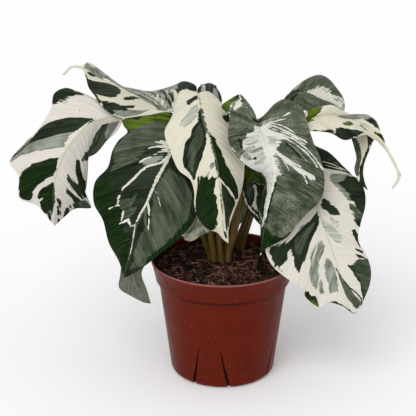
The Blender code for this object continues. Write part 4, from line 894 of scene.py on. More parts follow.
def isInside(spots, outline):
    found = np.zeros(len(spots), bool)
    for (x0, y0), (x1, y1) in zip(outline, np.roll(outline, -1, axis=0)):
        if y0 != y1:
            crosses = (spots[:, 1] > min(y0, y1)) & (spots[:, 1] <= max(y0, y1))
            found ^= crosses & (spots[:, 0] < x0 + (spots[:, 1] - y0) * (x1 - x0) / (y1 - y0))
    return found


def paintDepths(look, spots, scale):
    # Depth in mm of each spot inside each tone, and inside all of them as green; later marks lie over earlier ones
    deep, limit = leafBuild["groundDepth"], leafBuild["depthLimit"]
    depths = {tone: np.full(len(spots), deep if tone == look["ground"] else -deep) for tone in toneOrder}
    depths["green"] = np.full(len(spots), -deep if look["ground"] == "cream" else deep)
    for tone, crisp, halfWidth, path in look["marks"]:
        places = np.asarray(path, float) * scale
        if halfWidth is None:
            depth = edgeDistance(spots, places, True) * np.where(isInside(spots, places), 1, -1)
        else:
            depth = halfWidth - edgeDistance(spots, places, False)
        depth = depth * crisp
        grows = ("green", tone) if tone != "cream" else ()
        for other, values in depths.items():
            depths[other] = np.maximum(values, depth) if other in grows else np.minimum(values, -depth)
    return {tone: np.clip(values, -limit, limit) for tone, values in depths.items()}


def vertexNormals(points, faces):
    diagonals = np.cross(points[faces[:, 2]] - points[faces[:, 0]], points[faces[:, 3]] - points[faces[:, 1]])
    normals = np.zeros_like(points)
    for corner in range(4):
        np.add.at(normals, faces[:, corner], diagonals)
    return unit(normals)


def makeBlade(number, name, form):
    b, veins = leafBuild, veinBuild
    ribLength = np.linalg.norm(np.diff(smoothCurve(form["midrib"], b["measureSteps"]), axis=0), axis=1).sum()
    coarse, _, _ = bladeSurface(form, b["coarseRows"], (0.0, 1.0))
    halfWidth = np.linalg.norm(coarse[:, 2] - coarse[:, 1], axis=1).mean()
    rows = int(b["moreRows"] * ribLength / b["rowPitch"])
    perSide = int(b["moreColumns"] * halfWidth / b["columnPitch"])
    columns = 2 * perSide + 1

    # The middle sheet; all points of its last row are the tip
    grid, _, _ = bladeSurface(form, rows, np.linspace(0, 1, perSide + 1))
    tip = np.array([form["midrib"][-1]], float)
    points = np.concatenate([grid.reshape(-1, 3), np.repeat(tip, columns, 0)])
    across = np.tile(np.linspace(-1, 1, columns), rows + 1)
    along = np.repeat(np.append(np.arange(rows) / rows, 1.0), columns)
    index = np.arange(len(points)).reshape(rows + 1, columns)
    body = np.stack([index[:-2, :-1], index[1:-1, :-1], index[1:-1, 1:], index[:-2, 1:]], axis=-1).reshape(-1, 4)
    normals = vertexNormals(points, body)
    normals[index[-1]] = normals[index[-2, perSide]]
    if name in b["tails"]:
        drawn, start = b["tails"][name]
        ribs = np.repeat(np.concatenate([grid[:, perSide], tip]), columns, 0)
        points += (ribs - points) * (drawn * np.clip((along - start) / b["tailRun"], 0, 1))[:, None]

    # Its thickness, with a ridge for each side vein, a groove over the midrib and a keel under it
    t = abs(across)
    sideFade, endFade = b["veinFade"]
    swell = np.sin(math.pi * t) ** sideFade * np.sin(math.pi * along) ** endFade
    drift = veins["drift"] * np.sin(veins["driftPace"] * along + veins["driftLeaf"] * number)
    relief = b["veinRelief"] * np.cos(math.tau * veins["count"] * along + drift) * swell
    half = (b["edgeThickness"] + (b["thickness"] - b["edgeThickness"]) * (1 - t**4)) / 2
    keelHeight = b["keelBase"] * (1 - along**2) + b["keelTip"] * along**2
    keel = keelHeight * np.exp(-((t / b["keelWidth"]) ** 2))
    groove = b["grooveDepth"] * (1 - along) * np.exp(-((t / b["grooveWidth"]) ** 2))
    upper = points + normals * (half + relief - groove)[:, None]
    lower = points - normals * (half - relief + keel)[:, None]

    # The last row meets in the tip: its points are merged into one above and one below
    last = rows * columns
    keep = np.append(np.arange(last), last + perSide)
    upper, lower, across, along = (values[keep] for values in (upper, lower, across, along))
    count = last + 1
    tips = np.stack([index[-2, :-1], np.full(columns - 1, last), index[-2, 1:]], axis=1)
    border = np.concatenate([index[0], index[1:-1, -1], [last], index[-2:0:-1, 0]])
    rim = np.stack([border, np.roll(border, -1), count + np.roll(border, -1), count + border], axis=1)
    faces = body.tolist() + tips.tolist() + rim.tolist()
    underFaces = (count + body[:, ::-1]).tolist() + (count + tips[:, ::-1]).tolist()
    blade = addPiece("blade_" + name, np.concatenate([upper, lower]), faces + underFaces, [leafUpper, leafUnder])
    mesh = blade.data
    mesh.polygons.foreach_set("material_index", [0] * len(faces) + [1] * len(underFaces))
    mesh.shade_smooth()
    mesh.set_sharp_from_angle(angle=math.radians(b["sharpAngle"]))

    look = leafMarks[name]
    scale = np.array([halfWidth / 100, ribLength / 100])
    spots = np.stack([across, along], axis=1) * scale * 100
    for tone, depth in paintDepths(look, spots, scale).items():
        storeValues(mesh, tone + "Depth", np.tile(depth, 2))
    storeValues(mesh, "leafNumber", np.full(2 * count, number))
    for label in ("blush", "freckle", "snow"):
        storeValues(mesh, label, np.full(2 * count, look.get(label, 0.0)))
    storeMap(mesh, "veinMap", np.tile(np.stack([across / 2 + 0.5, along], axis=1), (2, 1)))
    dressPiece(blade, "leaf_" + name)


# Leaf finishes: cream ground with grey, dark, lime and deep green areas that end in teeth along the veins

leafColours = dict(
    cream=(0.66, 0.63, 0.48), blushCream=(0.65, 0.605, 0.57), creamVeinAndShade=(0.46, 0.46, 0.34),
    snow=(0.68, 0.68, 0.65), snowVein=(0.41, 0.43, 0.40), midrib=(0.45, 0.48, 0.30), snowMidrib=(0.72, 0.72, 0.70),
    greyGreen=(0.15, 0.165, 0.12), greyLilac=(0.27, 0.29, 0.26), greyVein=(0.36, 0.38, 0.32),
    pale=(0.35, 0.37, 0.31), paleVein=(0.53, 0.55, 0.475), fleck=(0.24, 0.25, 0.185),
    sheenedGreenDark=(0.026, 0.040, 0.020), greySheenAndFleck=(0.078, 0.098, 0.064), veinLineShade=(0.50, 0.52, 0.47),
    darkDeep=(0.004, 0.010, 0.003), darkSheen=(0.017, 0.028, 0.014), darkVein=(0.055, 0.070, 0.050),
    rich=(0.002, 0.011, 0.001), richPale=(0.010, 0.032, 0.003),
    limeGlowDark=(0.020, 0.045, 0.003), limeGlow=(0.10, 0.155, 0.012),
    underCream=(0.50, 0.48, 0.38), underDull=(0.38, 0.38, 0.30), underGreen=(0.105, 0.120, 0.085),
    underMottle=(0.145, 0.150, 0.125), underVein=(0.20, 0.21, 0.15), underGrey=(0.20, 0.21, 0.17),
    underPale=(0.36, 0.37, 0.29), underRich=(0.065, 0.095, 0.050),
)

# A tone's ground colour and the layers over it: the pattern that each follows, where the pattern starts to show
# and is full, its strength and its colour
leafTones = dict(
    grey=("greyGreen", ("Mottle", 0.40, 0.60, 1.0, "greyLilac"), ("Fine", 0.45, 0.70, 0.7, "greyVein")),
    pale=("pale", ("Fine", 0.40, 0.66, 1.0, "paleVein")),
    # painted sheen: dark green with a grey sheen over it, whose grey also starts the flecks
    moss=("sheenedGreenDark", ("Broad", 0.36, 0.64, 1.0, "greySheenAndFleck"), ("Fine", 0.50, 0.74, 0.5, "greyGreen")),
    # painted sheen: paler grey-green patches over the deep green
    dark=("darkDeep", ("Broad", 0.36, 0.66, 1.0, "darkSheen"), ("Fine", 0.50, 0.75, 0.6, "darkVein")),
    rich=("rich", ("Fine", 0.35, 0.70, 1.0, "richPale")),
    # partly painted light: yellow-green of light shining through the thin blade
    limeGlow=("limeGlowDark", ("Broad", 0.35, 0.65, 1.0, "limeGlow")),
    underCream=("underCream", ("Broad", 0.35, 0.65, 1.0, "underDull")),
    underGreen=("underGreen", ("Mottle", 0.40, 0.60, 1.0, "underMottle"), ("Ridge", 0.55, 0.98, 0.5, "underVein")),
)

upperLook = dict(
    specular=0.07, roughness=(0.36, 0.50), relief=(0.35, 0.5), veinRelief=0.7, grainRelief=0.3,
    grain={"Size": 0.7, "Mottle Size": 16.0}, flecks={"Size": 1.0, "Mottle Size": 7.0},
    groundEdge=(-0.35, 0.35), toneEdge=(-1.0, 0.0),  # mm of depth over which the cream, and a tone, give way
    creamStreaks=(0.44, 0.70), streakStrength=0.38, snowStreaks=0.5, creamVeinShade=(0.7, 1.0, 0.16),
    fleckCells=(0.40, 0.62), fleckMottle=(0.36, 0.62), fleckPlaces=(0.38, 0.58, 0.3, 1.0),
    fleckStreaks=(0.50, 0.68, 0.0, 0.35), veinLineShade=(0.55, 1.0, 0.0, 0.5), greenMidrib=0.5, creamMidrib=0.75,
)
underLook = dict(
    specular=0.12, roughness=0.6, relief=(0.4, 0.6), ridgeRelief=0.4, grain={"Size": 0.9, "Mottle Size": 12.0},
    over=(("grey", "underGrey"), ("pale", "underPale"), ("rich", "underRich"), ("limeGlow", "limeGlow")),
)


def leafPatterns(tree, spot, grain):
    # The patterns along the veins and in the grain, and a mask for each tone, all from what the blade stores
    place = addNode(tree, "ShaderNodeUVMap", uv_map="veinMap").outputs[0]
    veins = useGroup(tree, veinGroup, place, {"Leaf": readValue(tree, "leafNumber")})
    patterns = dict(veins.items())
    patterns.update(useGroup(tree, grainGroup, spot, grain).items())
    masks = {}
    for tone in ("green", *toneOrder):
        depth = mathNode(tree, "ADD", readValue(tree, tone + "Depth"), veins["Teeth"])
        masks[tone] = ramp(tree, depth, *upperLook["groundEdge" if tone == "green" else "toneEdge"])
    return patterns, masks


def toneColour(tree, patterns, tone):
    ground, *layers = leafTones[tone]
    colour = leafColours[ground]
    for pattern, start, full, strength, over in layers:
        colour = tint(tree, colour, patterns[pattern], start, full, strength, leafColours[over])
    return colour


def makeLeafUpper():
    look, colours = upperLook, leafColours
    material, tree, spot = newMaterial("leafUpper")
    patterns, masks = leafPatterns(tree, spot, look["grain"])
    fine, broad, ridge, midrib = (patterns[k] for k in ("Fine", "Broad", "Ridge", "Midrib"))
    snow, freckle = readValue(tree, "snow"), readValue(tree, "freckle")

    cream = mixColour(tree, readValue(tree, "blush"), colours["cream"], colours["blushCream"])
    cream = mixColour(tree, snow, cream, colours["snow"])
    strength = mathNode(tree, "MULTIPLY_ADD", snow, look["snowStreaks"], look["streakStrength"])
    streaks = mathNode(tree, "MULTIPLY", ramp(tree, fine, *look["creamStreaks"]), strength)
    cream = mixColour(tree, streaks, cream, mixColour(tree, snow, colours["creamVeinAndShade"], colours["snowVein"]))
    # painted shade in lines along the side veins, on the cream; the same colour also gives the cream its vein
    # streaks
    cream = tint(tree, cream, ridge, *look["creamVeinShade"], colours["creamVeinAndShade"])
    midribColour = mixColour(tree, snow, colours["midrib"], colours["snowMidrib"])
    cream = cover(tree, cream, midrib, look["creamMidrib"], midribColour)

    tones = {tone: toneColour(tree, patterns, tone) for tone in toneOrder}
    flecks = useGroup(tree, grainGroup, spot, look["flecks"])
    where = mathNode(tree, "MULTIPLY", freckle, ramp(tree, broad, *look["fleckPlaces"]))
    share = mathNode(tree, "MULTIPLY", ramp(tree, flecks["Height"], *look["fleckCells"]), where)
    fleck = tint(tree, colours["greySheenAndFleck"], flecks["Mottle"], *look["fleckMottle"], 1.0, colours["fleck"])
    moss = mixColour(tree, share, tones["moss"], fleck)
    streaks = mathNode(tree, "MULTIPLY", freckle, ramp(tree, fine, *look["fleckStreaks"]))
    tones["moss"] = mixColour(tree, streaks, moss, colours["fleck"])
    green = tones["dark"]
    for tone in toneOrder:
        green = mixColour(tree, masks[tone], green, tones[tone])
    # painted shade in lines along the side veins, on the greens
    green = mixColour(tree, ramp(tree, ridge, *look["veinLineShade"]), green, colours["veinLineShade"], "MULTIPLY")
    green = cover(tree, green, midrib, look["greenMidrib"], colours["greyGreen"])

    colour = mixColour(tree, masks["green"], cream, green)
    grainRelief = mathNode(tree, "MULTIPLY", patterns["Height"], look["grainRelief"])
    height = mathNode(tree, "MULTIPLY_ADD", fine, look["veinRelief"], grainRelief)
    finishMaterial(tree, look, colour, height, fine)
    return material


def makeLeafUnder():
    material, tree, spot = newMaterial("leafUnder")
    patterns, masks = leafPatterns(tree, spot, underLook["grain"])
    colour = toneColour(tree, patterns, "underGreen")
    for tone, over in underLook["over"]:
        colour = mixColour(tree, masks[tone], colour, leafColours[over])
    colour = mixColour(tree, masks["green"], toneColour(tree, patterns, "underCream"), colour)
    height = mathNode(tree, "MULTIPLY_ADD", patterns["Ridge"], underLook["ridgeRelief"], patterns["Height"])
    finishMaterial(tree, underLook, colour, height)
    return material


leafUpper = makeLeafUpper()
leafUnder = makeLeafUnder()
for number, (name, form) in enumerate(leafForms.items()):
    makeBlade(number, name, form)
print("blades made:", len(leafForms))


# Stems: a tube along each path, with a swollen joint below the blade

# meets: mm behind and below the blade's start, where the stem ends. comesFrom: mm behind and below that end,
# where the stem comes up to it. Places and spans are shares of the stem's length.
stemBuild = dict(
    footTop=103.0, footBottom=78.0, footLean=0.02, meets=(1.1, 0.6), comesFrom=(8.0, 3.0),
    footRadius=2.8, slimFoot=2.3, slimStems=("right_tailed", "lower_right", "right_hanging", "behind_right"),
    middle=0.35, middleRadius=1.9, narrowFrom=0.8, waist=1.45, topRadius=1.25,
    jointRadius=1.6, jointPlace=0.93, jointLength=0.035, steps=90, sides=14,
    specular=0.16, roughness=(0.38, 0.55), relief=(0.3, 0.6), stretch=0.12,
    grain={"Size": 0.6, "Mottle Size": 3.0}, specks={"Size": 1.6, "Amount": 0.25},
    footColours=((0.105, 0.078, 0.010), (0.160, 0.082, 0.022)), ownPitch=3.7, ownSpan=(0.35, 0.65),
    upperColours=((0.140, 0.140, 0.014), (0.230, 0.130, 0.040)), upperSpan=(0.05, 0.6),
    jointColour=(0.17, 0.19, 0.05), jointSpan=(0.86, 0.93),
    stain=(0.045, 0.032, 0.010), stainStrength=0.5, speck=(0.16, 0.12, 0.06),
)


def stemPath(form):
    # From the foot in the peat up to the blade, which it meets from below, in line with the midrib
    b = stemBuild
    _, forward, upward = bladeSurface(form, form.get("rows", leafBuild["coarseRows"]), (0.0, 1.0))
    end = np.array(form["midrib"][0], float) - forward * b["meets"][0] - upward * b["meets"][1]
    approach = end - forward * b["comesFrom"][0] - upward * b["comesFrom"][1]
    foot = np.array([*form["foot"], b["footTop"]], float)
    lean = (np.array(form["stem"][0], float) - foot)[:2] * b["footLean"]
    bottom = np.array([*(foot[:2] - lean), b["footBottom"]])
    return np.concatenate([bottom[None], smoothCurve([foot, *form["stem"], approach, end], b["steps"])])


def namedValue(tree, name):
    node = addNode(tree, "GeometryNodeInputNamedAttribute", {"Name": name}, data_type="FLOAT")
    return next(socket for socket in node.outputs if socket.enabled and socket.name == "Attribute")


def makeStemTree(material):
    tree, given, groupOut = newTree(
        "GeometryNodeTree", "stemTube",
        [("Geometry", "Geometry", None), ("Sides", "Int", 12), ("Width", "Float", 1.0)],
        [("Geometry", "Geometry")],
    )
    curve = addNode(tree, "GeometryNodeMeshToCurve", {"Mesh": given["Geometry"]})
    ring = addNode(tree, "GeometryNodeCurvePrimitiveCircle",
                   {"Resolution": given["Sides"], "Radius": given["Width"]})
    tube = addNode(tree, "GeometryNodeCurveToMesh", {
        "Curve": curve.outputs[0], "Profile Curve": ring.outputs[0], "Fill Caps": True,
        "Scale": namedValue(tree, "stemRadius"),
    })
    smooth = addNode(tree, "GeometryNodeSetShadeSmooth", {"Geometry": tube.outputs[0]})
    real = addNode(tree, "GeometryNodeRealizeInstances", {"Geometry": smooth.outputs[0]})
    coated = addNode(tree, "GeometryNodeSetMaterial", {"Geometry": real.outputs[0], "Material": material})
    setInputs(tree, groupOut, {"Geometry": coated.outputs[0]})
    return tree


def makeStem(number, name, form, tree):
    b = stemBuild
    path = stemPath(form)
    share = np.concatenate([[0.0], np.linspace(0, 1, b["steps"])])
    footRadius = b["slimFoot"] if name in b["slimStems"] else b["footRadius"]
    radius = np.interp(share, (0, b["middle"], b["narrowFrom"], 1),
                       (footRadius, b["middleRadius"], b["waist"], b["topRadius"]))
    radius += (b["jointRadius"] - b["waist"]) * np.exp(-(((share - b["jointPlace"]) / b["jointLength"]) ** 2))
    host = addPiece("stemPath", path, [], edges=[(k, k + 1) for k in range(len(path) - 1)])
    storeValues(host.data, "stemRadius", radius * mm)
    storeValues(host.data, "alongStem", share)
    storeValues(host.data, "stemNumber", np.full(len(path), number))
    stem = growPiece("petiole_" + name, host, tree, {"Sides": b["sides"], "Width": 1.0})
    dressPiece(stem, "stem_" + name)


def makeStemMaterial():
    b = stemBuild
    material, tree, spot = newMaterial("petioleSkin")
    along = readValue(tree, "alongStem")
    own = noiseValue(tree, joinVector(tree, readValue(tree, "stemNumber"), 0.0, 0.0), b["ownPitch"], 0.0)
    lengthwise = addNode(tree, "ShaderNodeMapping", {"Vector": spot, "Scale": (1.0, 1.0, b["stretch"])})
    grain = useGroup(tree, grainGroup, lengthwise.outputs[0], b["grain"])
    specks = useGroup(tree, speckGroup, spot, b["specks"])
    foot, upper = (
        tint(tree, green, own, *b["ownSpan"], 1.0, brown) for green, brown in (b["footColours"], b["upperColours"])
    )
    colour = tint(tree, foot, along, *b["upperSpan"], 1.0, upper)
    colour = tint(tree, colour, along, *b["jointSpan"], 1.0, b["jointColour"])
    colour = tint(tree, colour, grain["Mottle"], *noiseSpan, b["stainStrength"], b["stain"])
    colour = mixColour(tree, specks["Mask"], colour, b["speck"])
    finishMaterial(tree, b, colour, grain["Height"], grain["Mottle"])
    return material


stemTree = makeStemTree(makeStemMaterial())
for number, (name, form) in enumerate(leafForms.items()):
    makeStem(number, name, form, stemTree)
print("stems made:", len(leafForms))


# Pot: a turned thin shell with a sloping collar, V slits at the foot and a drained floor

# rimSteps, collarSteps and shoulderSteps: mm out from and above the rim, the collar's foot and the body's top.
# The slits' heights, angles and widths are those of their lower and their upper end.
potBuild = dict(
    height=100.0, rimRadius=60.0, wall=1.3, collarDepth=18.0, collarFoot=55.9, bodyTop=53.7, bodyFoot=43.4,
    footRound=5.0, floorLift=2.0, floorThickness=1.6, floorCorner=3.0, ringInner=35.0, padRadius=11.0,
    segments=144, roundSteps=6, bodyHeights=(70.0, 60.0, 50.0, 41.0, 30.0, 20.0, 12.0, 8.0),
    floorEdge=(1.0, 0.7), shoulderDrop=1.0, innerLip=(0.15, 1.4), lipDrop=0.62, lipRound=0.6, lipProud=0.05,
    ringSlope=1.0, rimSteps=((-0.05, -1.1), (-0.35, -2.6), (-0.75, -3.2)),
    collarSteps=((0.45, 2.2), (0.25, 0.7), (-0.15, 0.15), (-0.9, 0.0)), shoulderSteps=((0.2, -0.4), (-0.1, -1.4)),
    slitPanels=4, slitCentre=-103.7, slitHeights=(-3.0, 37.0), slitAngles=(21.5, 11.0), slitWidths=(3.4, 0.5),
    slitReach=(-5.5, 4.0), drainHoles=8, drainRadius=3.5, drainCircle=23.0, drainHeights=(-5.0, 9.0),
    drainSides=20, sharpAngle=32,
    specular=0.07, roughness=(0.32, 0.46), relief=(0.12, 0.5), stretch=0.15,
    grain={"Size": 0.55, "Mottle Size": 14.0}, specks={"Size": 2.4, "Amount": 0.16},
    plastic=(0.096, 0.0078, 0.0016), mottle=(0.110, 0.0095, 0.0022),
    flowMark=(0.126, 0.0130, 0.0045), flowScale=160.0, flowSpan=(0.45, 0.75, 0.25),
    # painted shade: a dark band in the step under the collar
    collarShadow=(0.016, 0.002, 0.001), collarShadowStrength=0.75, collarShadowRise=(78.5, 81.5), collarShadowFall=(83.2, 82.2),
    # painted highlight: a lighter band along the top of the rim
    rimHighlight=(0.34, 0.14, 0.12), rimHighlightStrength=0.6, rimHighlightSpan=(98.0, 99.4), dust=(0.20, 0.07, 0.05), dustStrength=0.35,
)
collarBottom = potBuild["height"] - potBuild["collarDepth"]
floorTop = potBuild["floorLift"] + potBuild["floorThickness"]


def potOutside(height):
    b = potBuild
    if height >= collarBottom:
        return b["collarFoot"] + (b["rimRadius"] - b["collarFoot"]) * ((height - collarBottom) / b["collarDepth"])
    return b["bodyFoot"] + (b["bodyTop"] - b["bodyFoot"]) * height / collarBottom


def potSection():
    # Radius and height, from the floor's top up the inside, over the rim, down the outside and under the foot
    b = potBuild
    top, wall, rim, corner, foot = (b[key] for key in ("height", "wall", "rimRadius", "floorCorner", "footRound"))
    section = [
        (potOutside(floorTop) - wall - corner, floorTop),
        (potOutside(floorTop) - wall - b["floorEdge"][0], floorTop + b["floorEdge"][1]),
        (potOutside(floorTop + corner) - wall, floorTop + corner),
        (b["bodyTop"] - wall, collarBottom - b["shoulderDrop"] + wall),
        (b["collarFoot"] - wall, collarBottom + wall),
        (rim - wall - b["innerLip"][0], top - b["innerLip"][1]),
    ]
    for step in range(b["roundSteps"] + 1):
        angle = math.pi * (1 - step / b["roundSteps"])
        out = (wall / 2 + b["lipProud"]) * math.cos(angle)
        section.append((rim - wall / 2 + out, top - b["lipDrop"] + b["lipRound"] * math.sin(angle)))
    for radius, height, steps in ((rim, top, "rimSteps"), (b["collarFoot"], collarBottom, "collarSteps"),
                                  (b["bodyTop"], collarBottom, "shoulderSteps")):
        section += [(radius + out, height + up) for out, up in b[steps]]
    section += [(potOutside(height), height) for height in b["bodyHeights"]]
    for step in range(b["roundSteps"] + 1):
        angle = math.radians(90 * step / b["roundSteps"])
        section.append((potOutside(foot) - foot * (1 - math.cos(angle)), foot * (1 - math.sin(angle))))
    section += [
        (b["ringInner"] + b["ringSlope"], 0.0), (b["ringInner"], b["floorLift"]),
        (b["padRadius"] + b["ringSlope"], b["floorLift"]), (b["padRadius"], 0.0),
    ]
    return section


def turnSection(section, segments):
    # Rings of points about Z, one for each point of the section
    angles = math.tau * np.arange(segments) / segments
    return [(r * math.cos(a), r * math.sin(a), h) for r, h in section for a in angles]


def ringFaces(rings, segments):
    # Faces between such rings, closed to two points on the axis that follow them in the list: the first ring's
    # and the last ring's
    first, last, lastRing = rings * segments, rings * segments + 1, (rings - 1) * segments
    faces = []
    for here in range(segments):
        there = (here + 1) % segments
        for ring in range(0, lastRing, segments):
            faces.append((ring + here, ring + segments + here, ring + segments + there, ring + there))
        faces.append((first, here, there))
        faces.append((last, lastRing + there, lastRing + here))
    return faces


def slitCorners(panelCentre, side):
    # A thin wedge through the wall that opens downwards and leans away from its panel
    b = potBuild
    corners = []
    for height, halfAngle, width in zip(b["slitHeights"], b["slitAngles"], b["slitWidths"]):
        angle = math.radians(panelCentre + side * halfAngle)
        outward = np.array([math.cos(angle), math.sin(angle), 0.0])
        sideways = np.array([-math.sin(angle), math.cos(angle), 0.0])
        for reach in b["slitReach"]:
            for half in (-width / 2, width / 2):
                radius = potOutside(max(height, 0.0)) + reach
                corners.append(outward * radius + sideways * half + np.array([0.0, 0.0, height]))
    return corners


def makeCutters():
    # Wedges for the slits and short rods for the drain holes
    b, sides, radius = potBuild, potBuild["drainSides"], potBuild["drainRadius"]
    points, faces = [], []
    boxFaces = ((0, 1, 3, 2), (4, 6, 7, 5), (0, 4, 5, 1), (2, 3, 7, 6), (0, 2, 6, 4), (1, 5, 7, 3))
    for panel in range(b["slitPanels"]):
        for side in (-1, 1):
            base = len(points)
            points += slitCorners(b["slitCentre"] + 360 * panel / b["slitPanels"], side)
            faces += [tuple(base + k for k in face) for face in boxFaces]
    ring = [(math.cos(math.tau * k / sides), math.sin(math.tau * k / sides)) for k in range(sides)]
    for hole in range(b["drainHoles"]):
        angle = math.tau * (hole + 0.5) / b["drainHoles"]
        x, y = b["drainCircle"] * math.cos(angle), b["drainCircle"] * math.sin(angle)
        low = len(points)
        high = low + sides
        points += [(x + radius * c, y + radius * s, h) for h in b["drainHeights"] for c, s in ring]
        faces += [tuple(range(low, high))[::-1], tuple(range(high, high + sides))]
        faces += [(low + k, low + (k + 1) % sides, high + (k + 1) % sides, high + k) for k in range(sides)]
    cutters = addPiece("potCutters", points, faces)
    faceOutwards(cutters.data)
    return cutters


def makePotMaterial():
    b = potBuild
    material, tree, spot = newMaterial("potPlastic")
    grain = useGroup(tree, grainGroup, spot, b["grain"])
    specks = useGroup(tree, speckGroup, spot, b["specks"])
    streaked = addNode(tree, "ShaderNodeMapping", {"Vector": spot, "Scale": (1.0, 1.0, b["stretch"])})
    flow = noiseValue(tree, streaked.outputs[0], b["flowScale"])
    height = addNode(tree, "ShaderNodeSeparateXYZ", {0: spot}).outputs[2]

    def rise(span):
        return ramp(tree, height, span[0] * mm, span[1] * mm)

    colour = tint(tree, b["plastic"], grain["Mottle"], *noiseSpan, 1.0, b["mottle"])
    colour = tint(tree, colour, flow, *b["flowSpan"], b["flowMark"])
    # painted shade in the step under the collar's ledge
    collarShadow = mathNode(tree, "MULTIPLY", rise(b["collarShadowRise"]), rise(b["collarShadowFall"]))
    colour = cover(tree, colour, collarShadow, b["collarShadowStrength"], b["collarShadow"])
    # painted highlight along the top of the rim
    colour = cover(tree, colour, rise(b["rimHighlightSpan"]), b["rimHighlightStrength"], b["rimHighlight"])
    colour = cover(tree, colour, specks["Mask"], b["dustStrength"], b["dust"])
    finishMaterial(tree, b, colour, grain["Height"], flow)
    return material


def makePot():
    section = potSection()
    points = turnSection(section, potBuild["segments"]) + [(0.0, 0.0, floorTop), (0.0, 0.0, 0.0)]
    faces = ringFaces(len(section), potBuild["segments"])
    pot = addPiece("nurseryPot", points, faces, [makePotMaterial()])
    faceOutwards(pot.data)
    cutters = makeCutters()
    cut = pot.modifiers.new("cut", "BOOLEAN")
    cut.operation = "DIFFERENCE"
    cut.object = cutters
    cut.solver = "EXACT"
    pot.data = plainMesh(pot, cut)
    bpy.data.objects.remove(cutters)
    pot.data.shade_smooth()
    pot.data.set_sharp_from_angle(angle=math.radians(potBuild["sharpAngle"]))
    dressPiece(pot, "pot")


makePot()
print("pot made")


# Peat: a mounded plug with crumbs and coconut fibres strewn over it

# A wave is its height, its turns towards x and y, and where it starts. Crumbs and fibres: the part of the bed
# that takes them, their most turn about each axis, their least and most size along it, and their tone.
peatBuild = dict(
    edgeBelowRim=7.0, mound=5.0, relief=1.1, gap=0.3, footGap=0.9, rings=56, segments=220, onTop=88.0,
    waves=((0.5, 0.23, 0.26, 1.7), (0.5, 0.23, -0.26, 0.9), (0.7, 0.17, -0.31, 2.0), (0.4, 0.47, 0.39, 0.0)),
    roughness=0.9, roughScale=0.28, roughDetail=(0.8, 2.0, 4), roughLayer=3.0,
    clodSize=6.5, clodHeight=1.5, clodLayer=11.0, smallClods=0.4, smallTimes=2.3, smallLayer=5.0,
    seed=7, crumbs=1900, crumbSize=2.6, crumbMargin=1.5, lumpScale=1400.0, lumpHeight=2.2,
    fibres=1500, fibreLength=8.0, fibreRadius=0.42, fibreMargin=0.75, fibreSteps=6, fibreBow=0.45, fibreLift=0.5,
    crumbSpread=dict(place="crumbBed", turns=(3.1, 3.1, 3.1), sizes=((0.35, 1.1), (0.25, 0.8), (0.25, 0.6)),
                     tones=(0.1, 0.85), seedShift=0),
    fibreSpread=dict(place="fibreBed", turns=(0.35, 0.35, 3.1), sizes=((0.4, 1.3), (0.4, 1.3), (0.4, 1.3)),
                     tones=(0.5, 1.2), seedShift=20),
)
peatLook = dict(
    specular=0.2, roughness=(0.85, 0.98), relief=(0.8, 0.8), speckStrength=0.4, toneSpan=(0.62, 1.0),
    grain={"Size": 0.8, "Mottle Size": 3.0}, specks={"Size": 1.2, "Amount": 0.3},
    clodHeightShade=(0.5, 0.9), clodShade=(0.28, 0.60, 0.20, 1.25),
    dark=((0.004, 0.002, 0.0015), (0.014, 0.006, 0.004), (0.040, 0.016, 0.010)),  # ground, mottle and pale bits
    crumbs=((0.005, 0.0025, 0.002), (0.048, 0.019, 0.013), (0.220, 0.095, 0.066)),
)
peatTop = potBuild["height"] - peatBuild["edgeBelowRim"]
peatRadius = potOutside(peatTop) - potBuild["wall"] - peatBuild["gap"]


def clodNoise(x, y, layer, times=1.0):
    return noise.noise(Vector((x, y, layer)) * times / peatBuild["clodSize"])


def peatHeight(x, y):
    b = peatBuild
    share = math.hypot(x, y) / peatRadius
    lumps = sum(high * math.sin(x * turnX + y * turnY + start) for high, turnX, turnY, start in b["waves"])
    height = peatTop + b["mound"] * (1 - share**2) + b["relief"] * lumps * min(1.0, 4 * share * (1 - share))
    rough = noise.fractal(Vector((x, y, b["roughLayer"])) * b["roughScale"], *b["roughDetail"])
    clod = clodNoise(x, y, b["clodLayer"]) + b["smallClods"] * clodNoise(x, y, b["smallLayer"], b["smallTimes"])
    inside = min(1.0, 8 * (1 - share))  # nothing rough at the pot's wall
    return height + (b["roughness"] * rough + b["clodHeight"] * clod) * inside


def makePeatBed(material):
    b, pot = peatBuild, potBuild
    wall, gap, corner = pot["wall"], b["gap"], pot["floorCorner"]
    section = [
        (potOutside(floorTop) - wall - corner - gap, floorTop + gap),
        (potOutside(floorTop + corner) - wall - gap, floorTop + corner + gap),
        (pot["bodyTop"] - wall - gap, collarBottom - pot["shoulderDrop"] + wall + gap),
        (pot["collarFoot"] - wall - gap - b["footGap"], collarBottom + wall + gap),
    ]
    section += [(peatRadius * (1 - ring / b["rings"]), None) for ring in range(b["rings"])]
    points = [(x, y, peatHeight(x, y) if height is None else height)
              for x, y, height in turnSection(section, b["segments"])]
    points += [(0.0, 0.0, floorTop + gap), (0.0, 0.0, peatHeight(0.0, 0.0))]
    bed = addPiece("peatBed", points, ringFaces(len(section), b["segments"]), [material])
    faceOutwards(bed.data)
    bed.data.shade_smooth()
    for name, margin in (("crumbBed", b["crumbMargin"] * b["crumbSize"]),
                         ("fibreBed", b["fibreMargin"] * b["fibreLength"])):
        reach = peatRadius - margin  # what lies on the bed stays clear of the pot
        storeValues(bed.data, name, [float(h > b["onTop"] and math.hypot(x, y) < reach) for x, y, h in points])
    storeValues(bed.data, "crumbTone", [0.0] * len(points))
    # painted shade: the peat is darker in the hollows between clods and lighter on their tops
    middle, spread = peatLook["clodHeightShade"]
    storeValues(bed.data, "clodHeightShade", [middle + spread * clodNoise(x, y, b["clodLayer"]) for x, y, _ in points])
    return bed


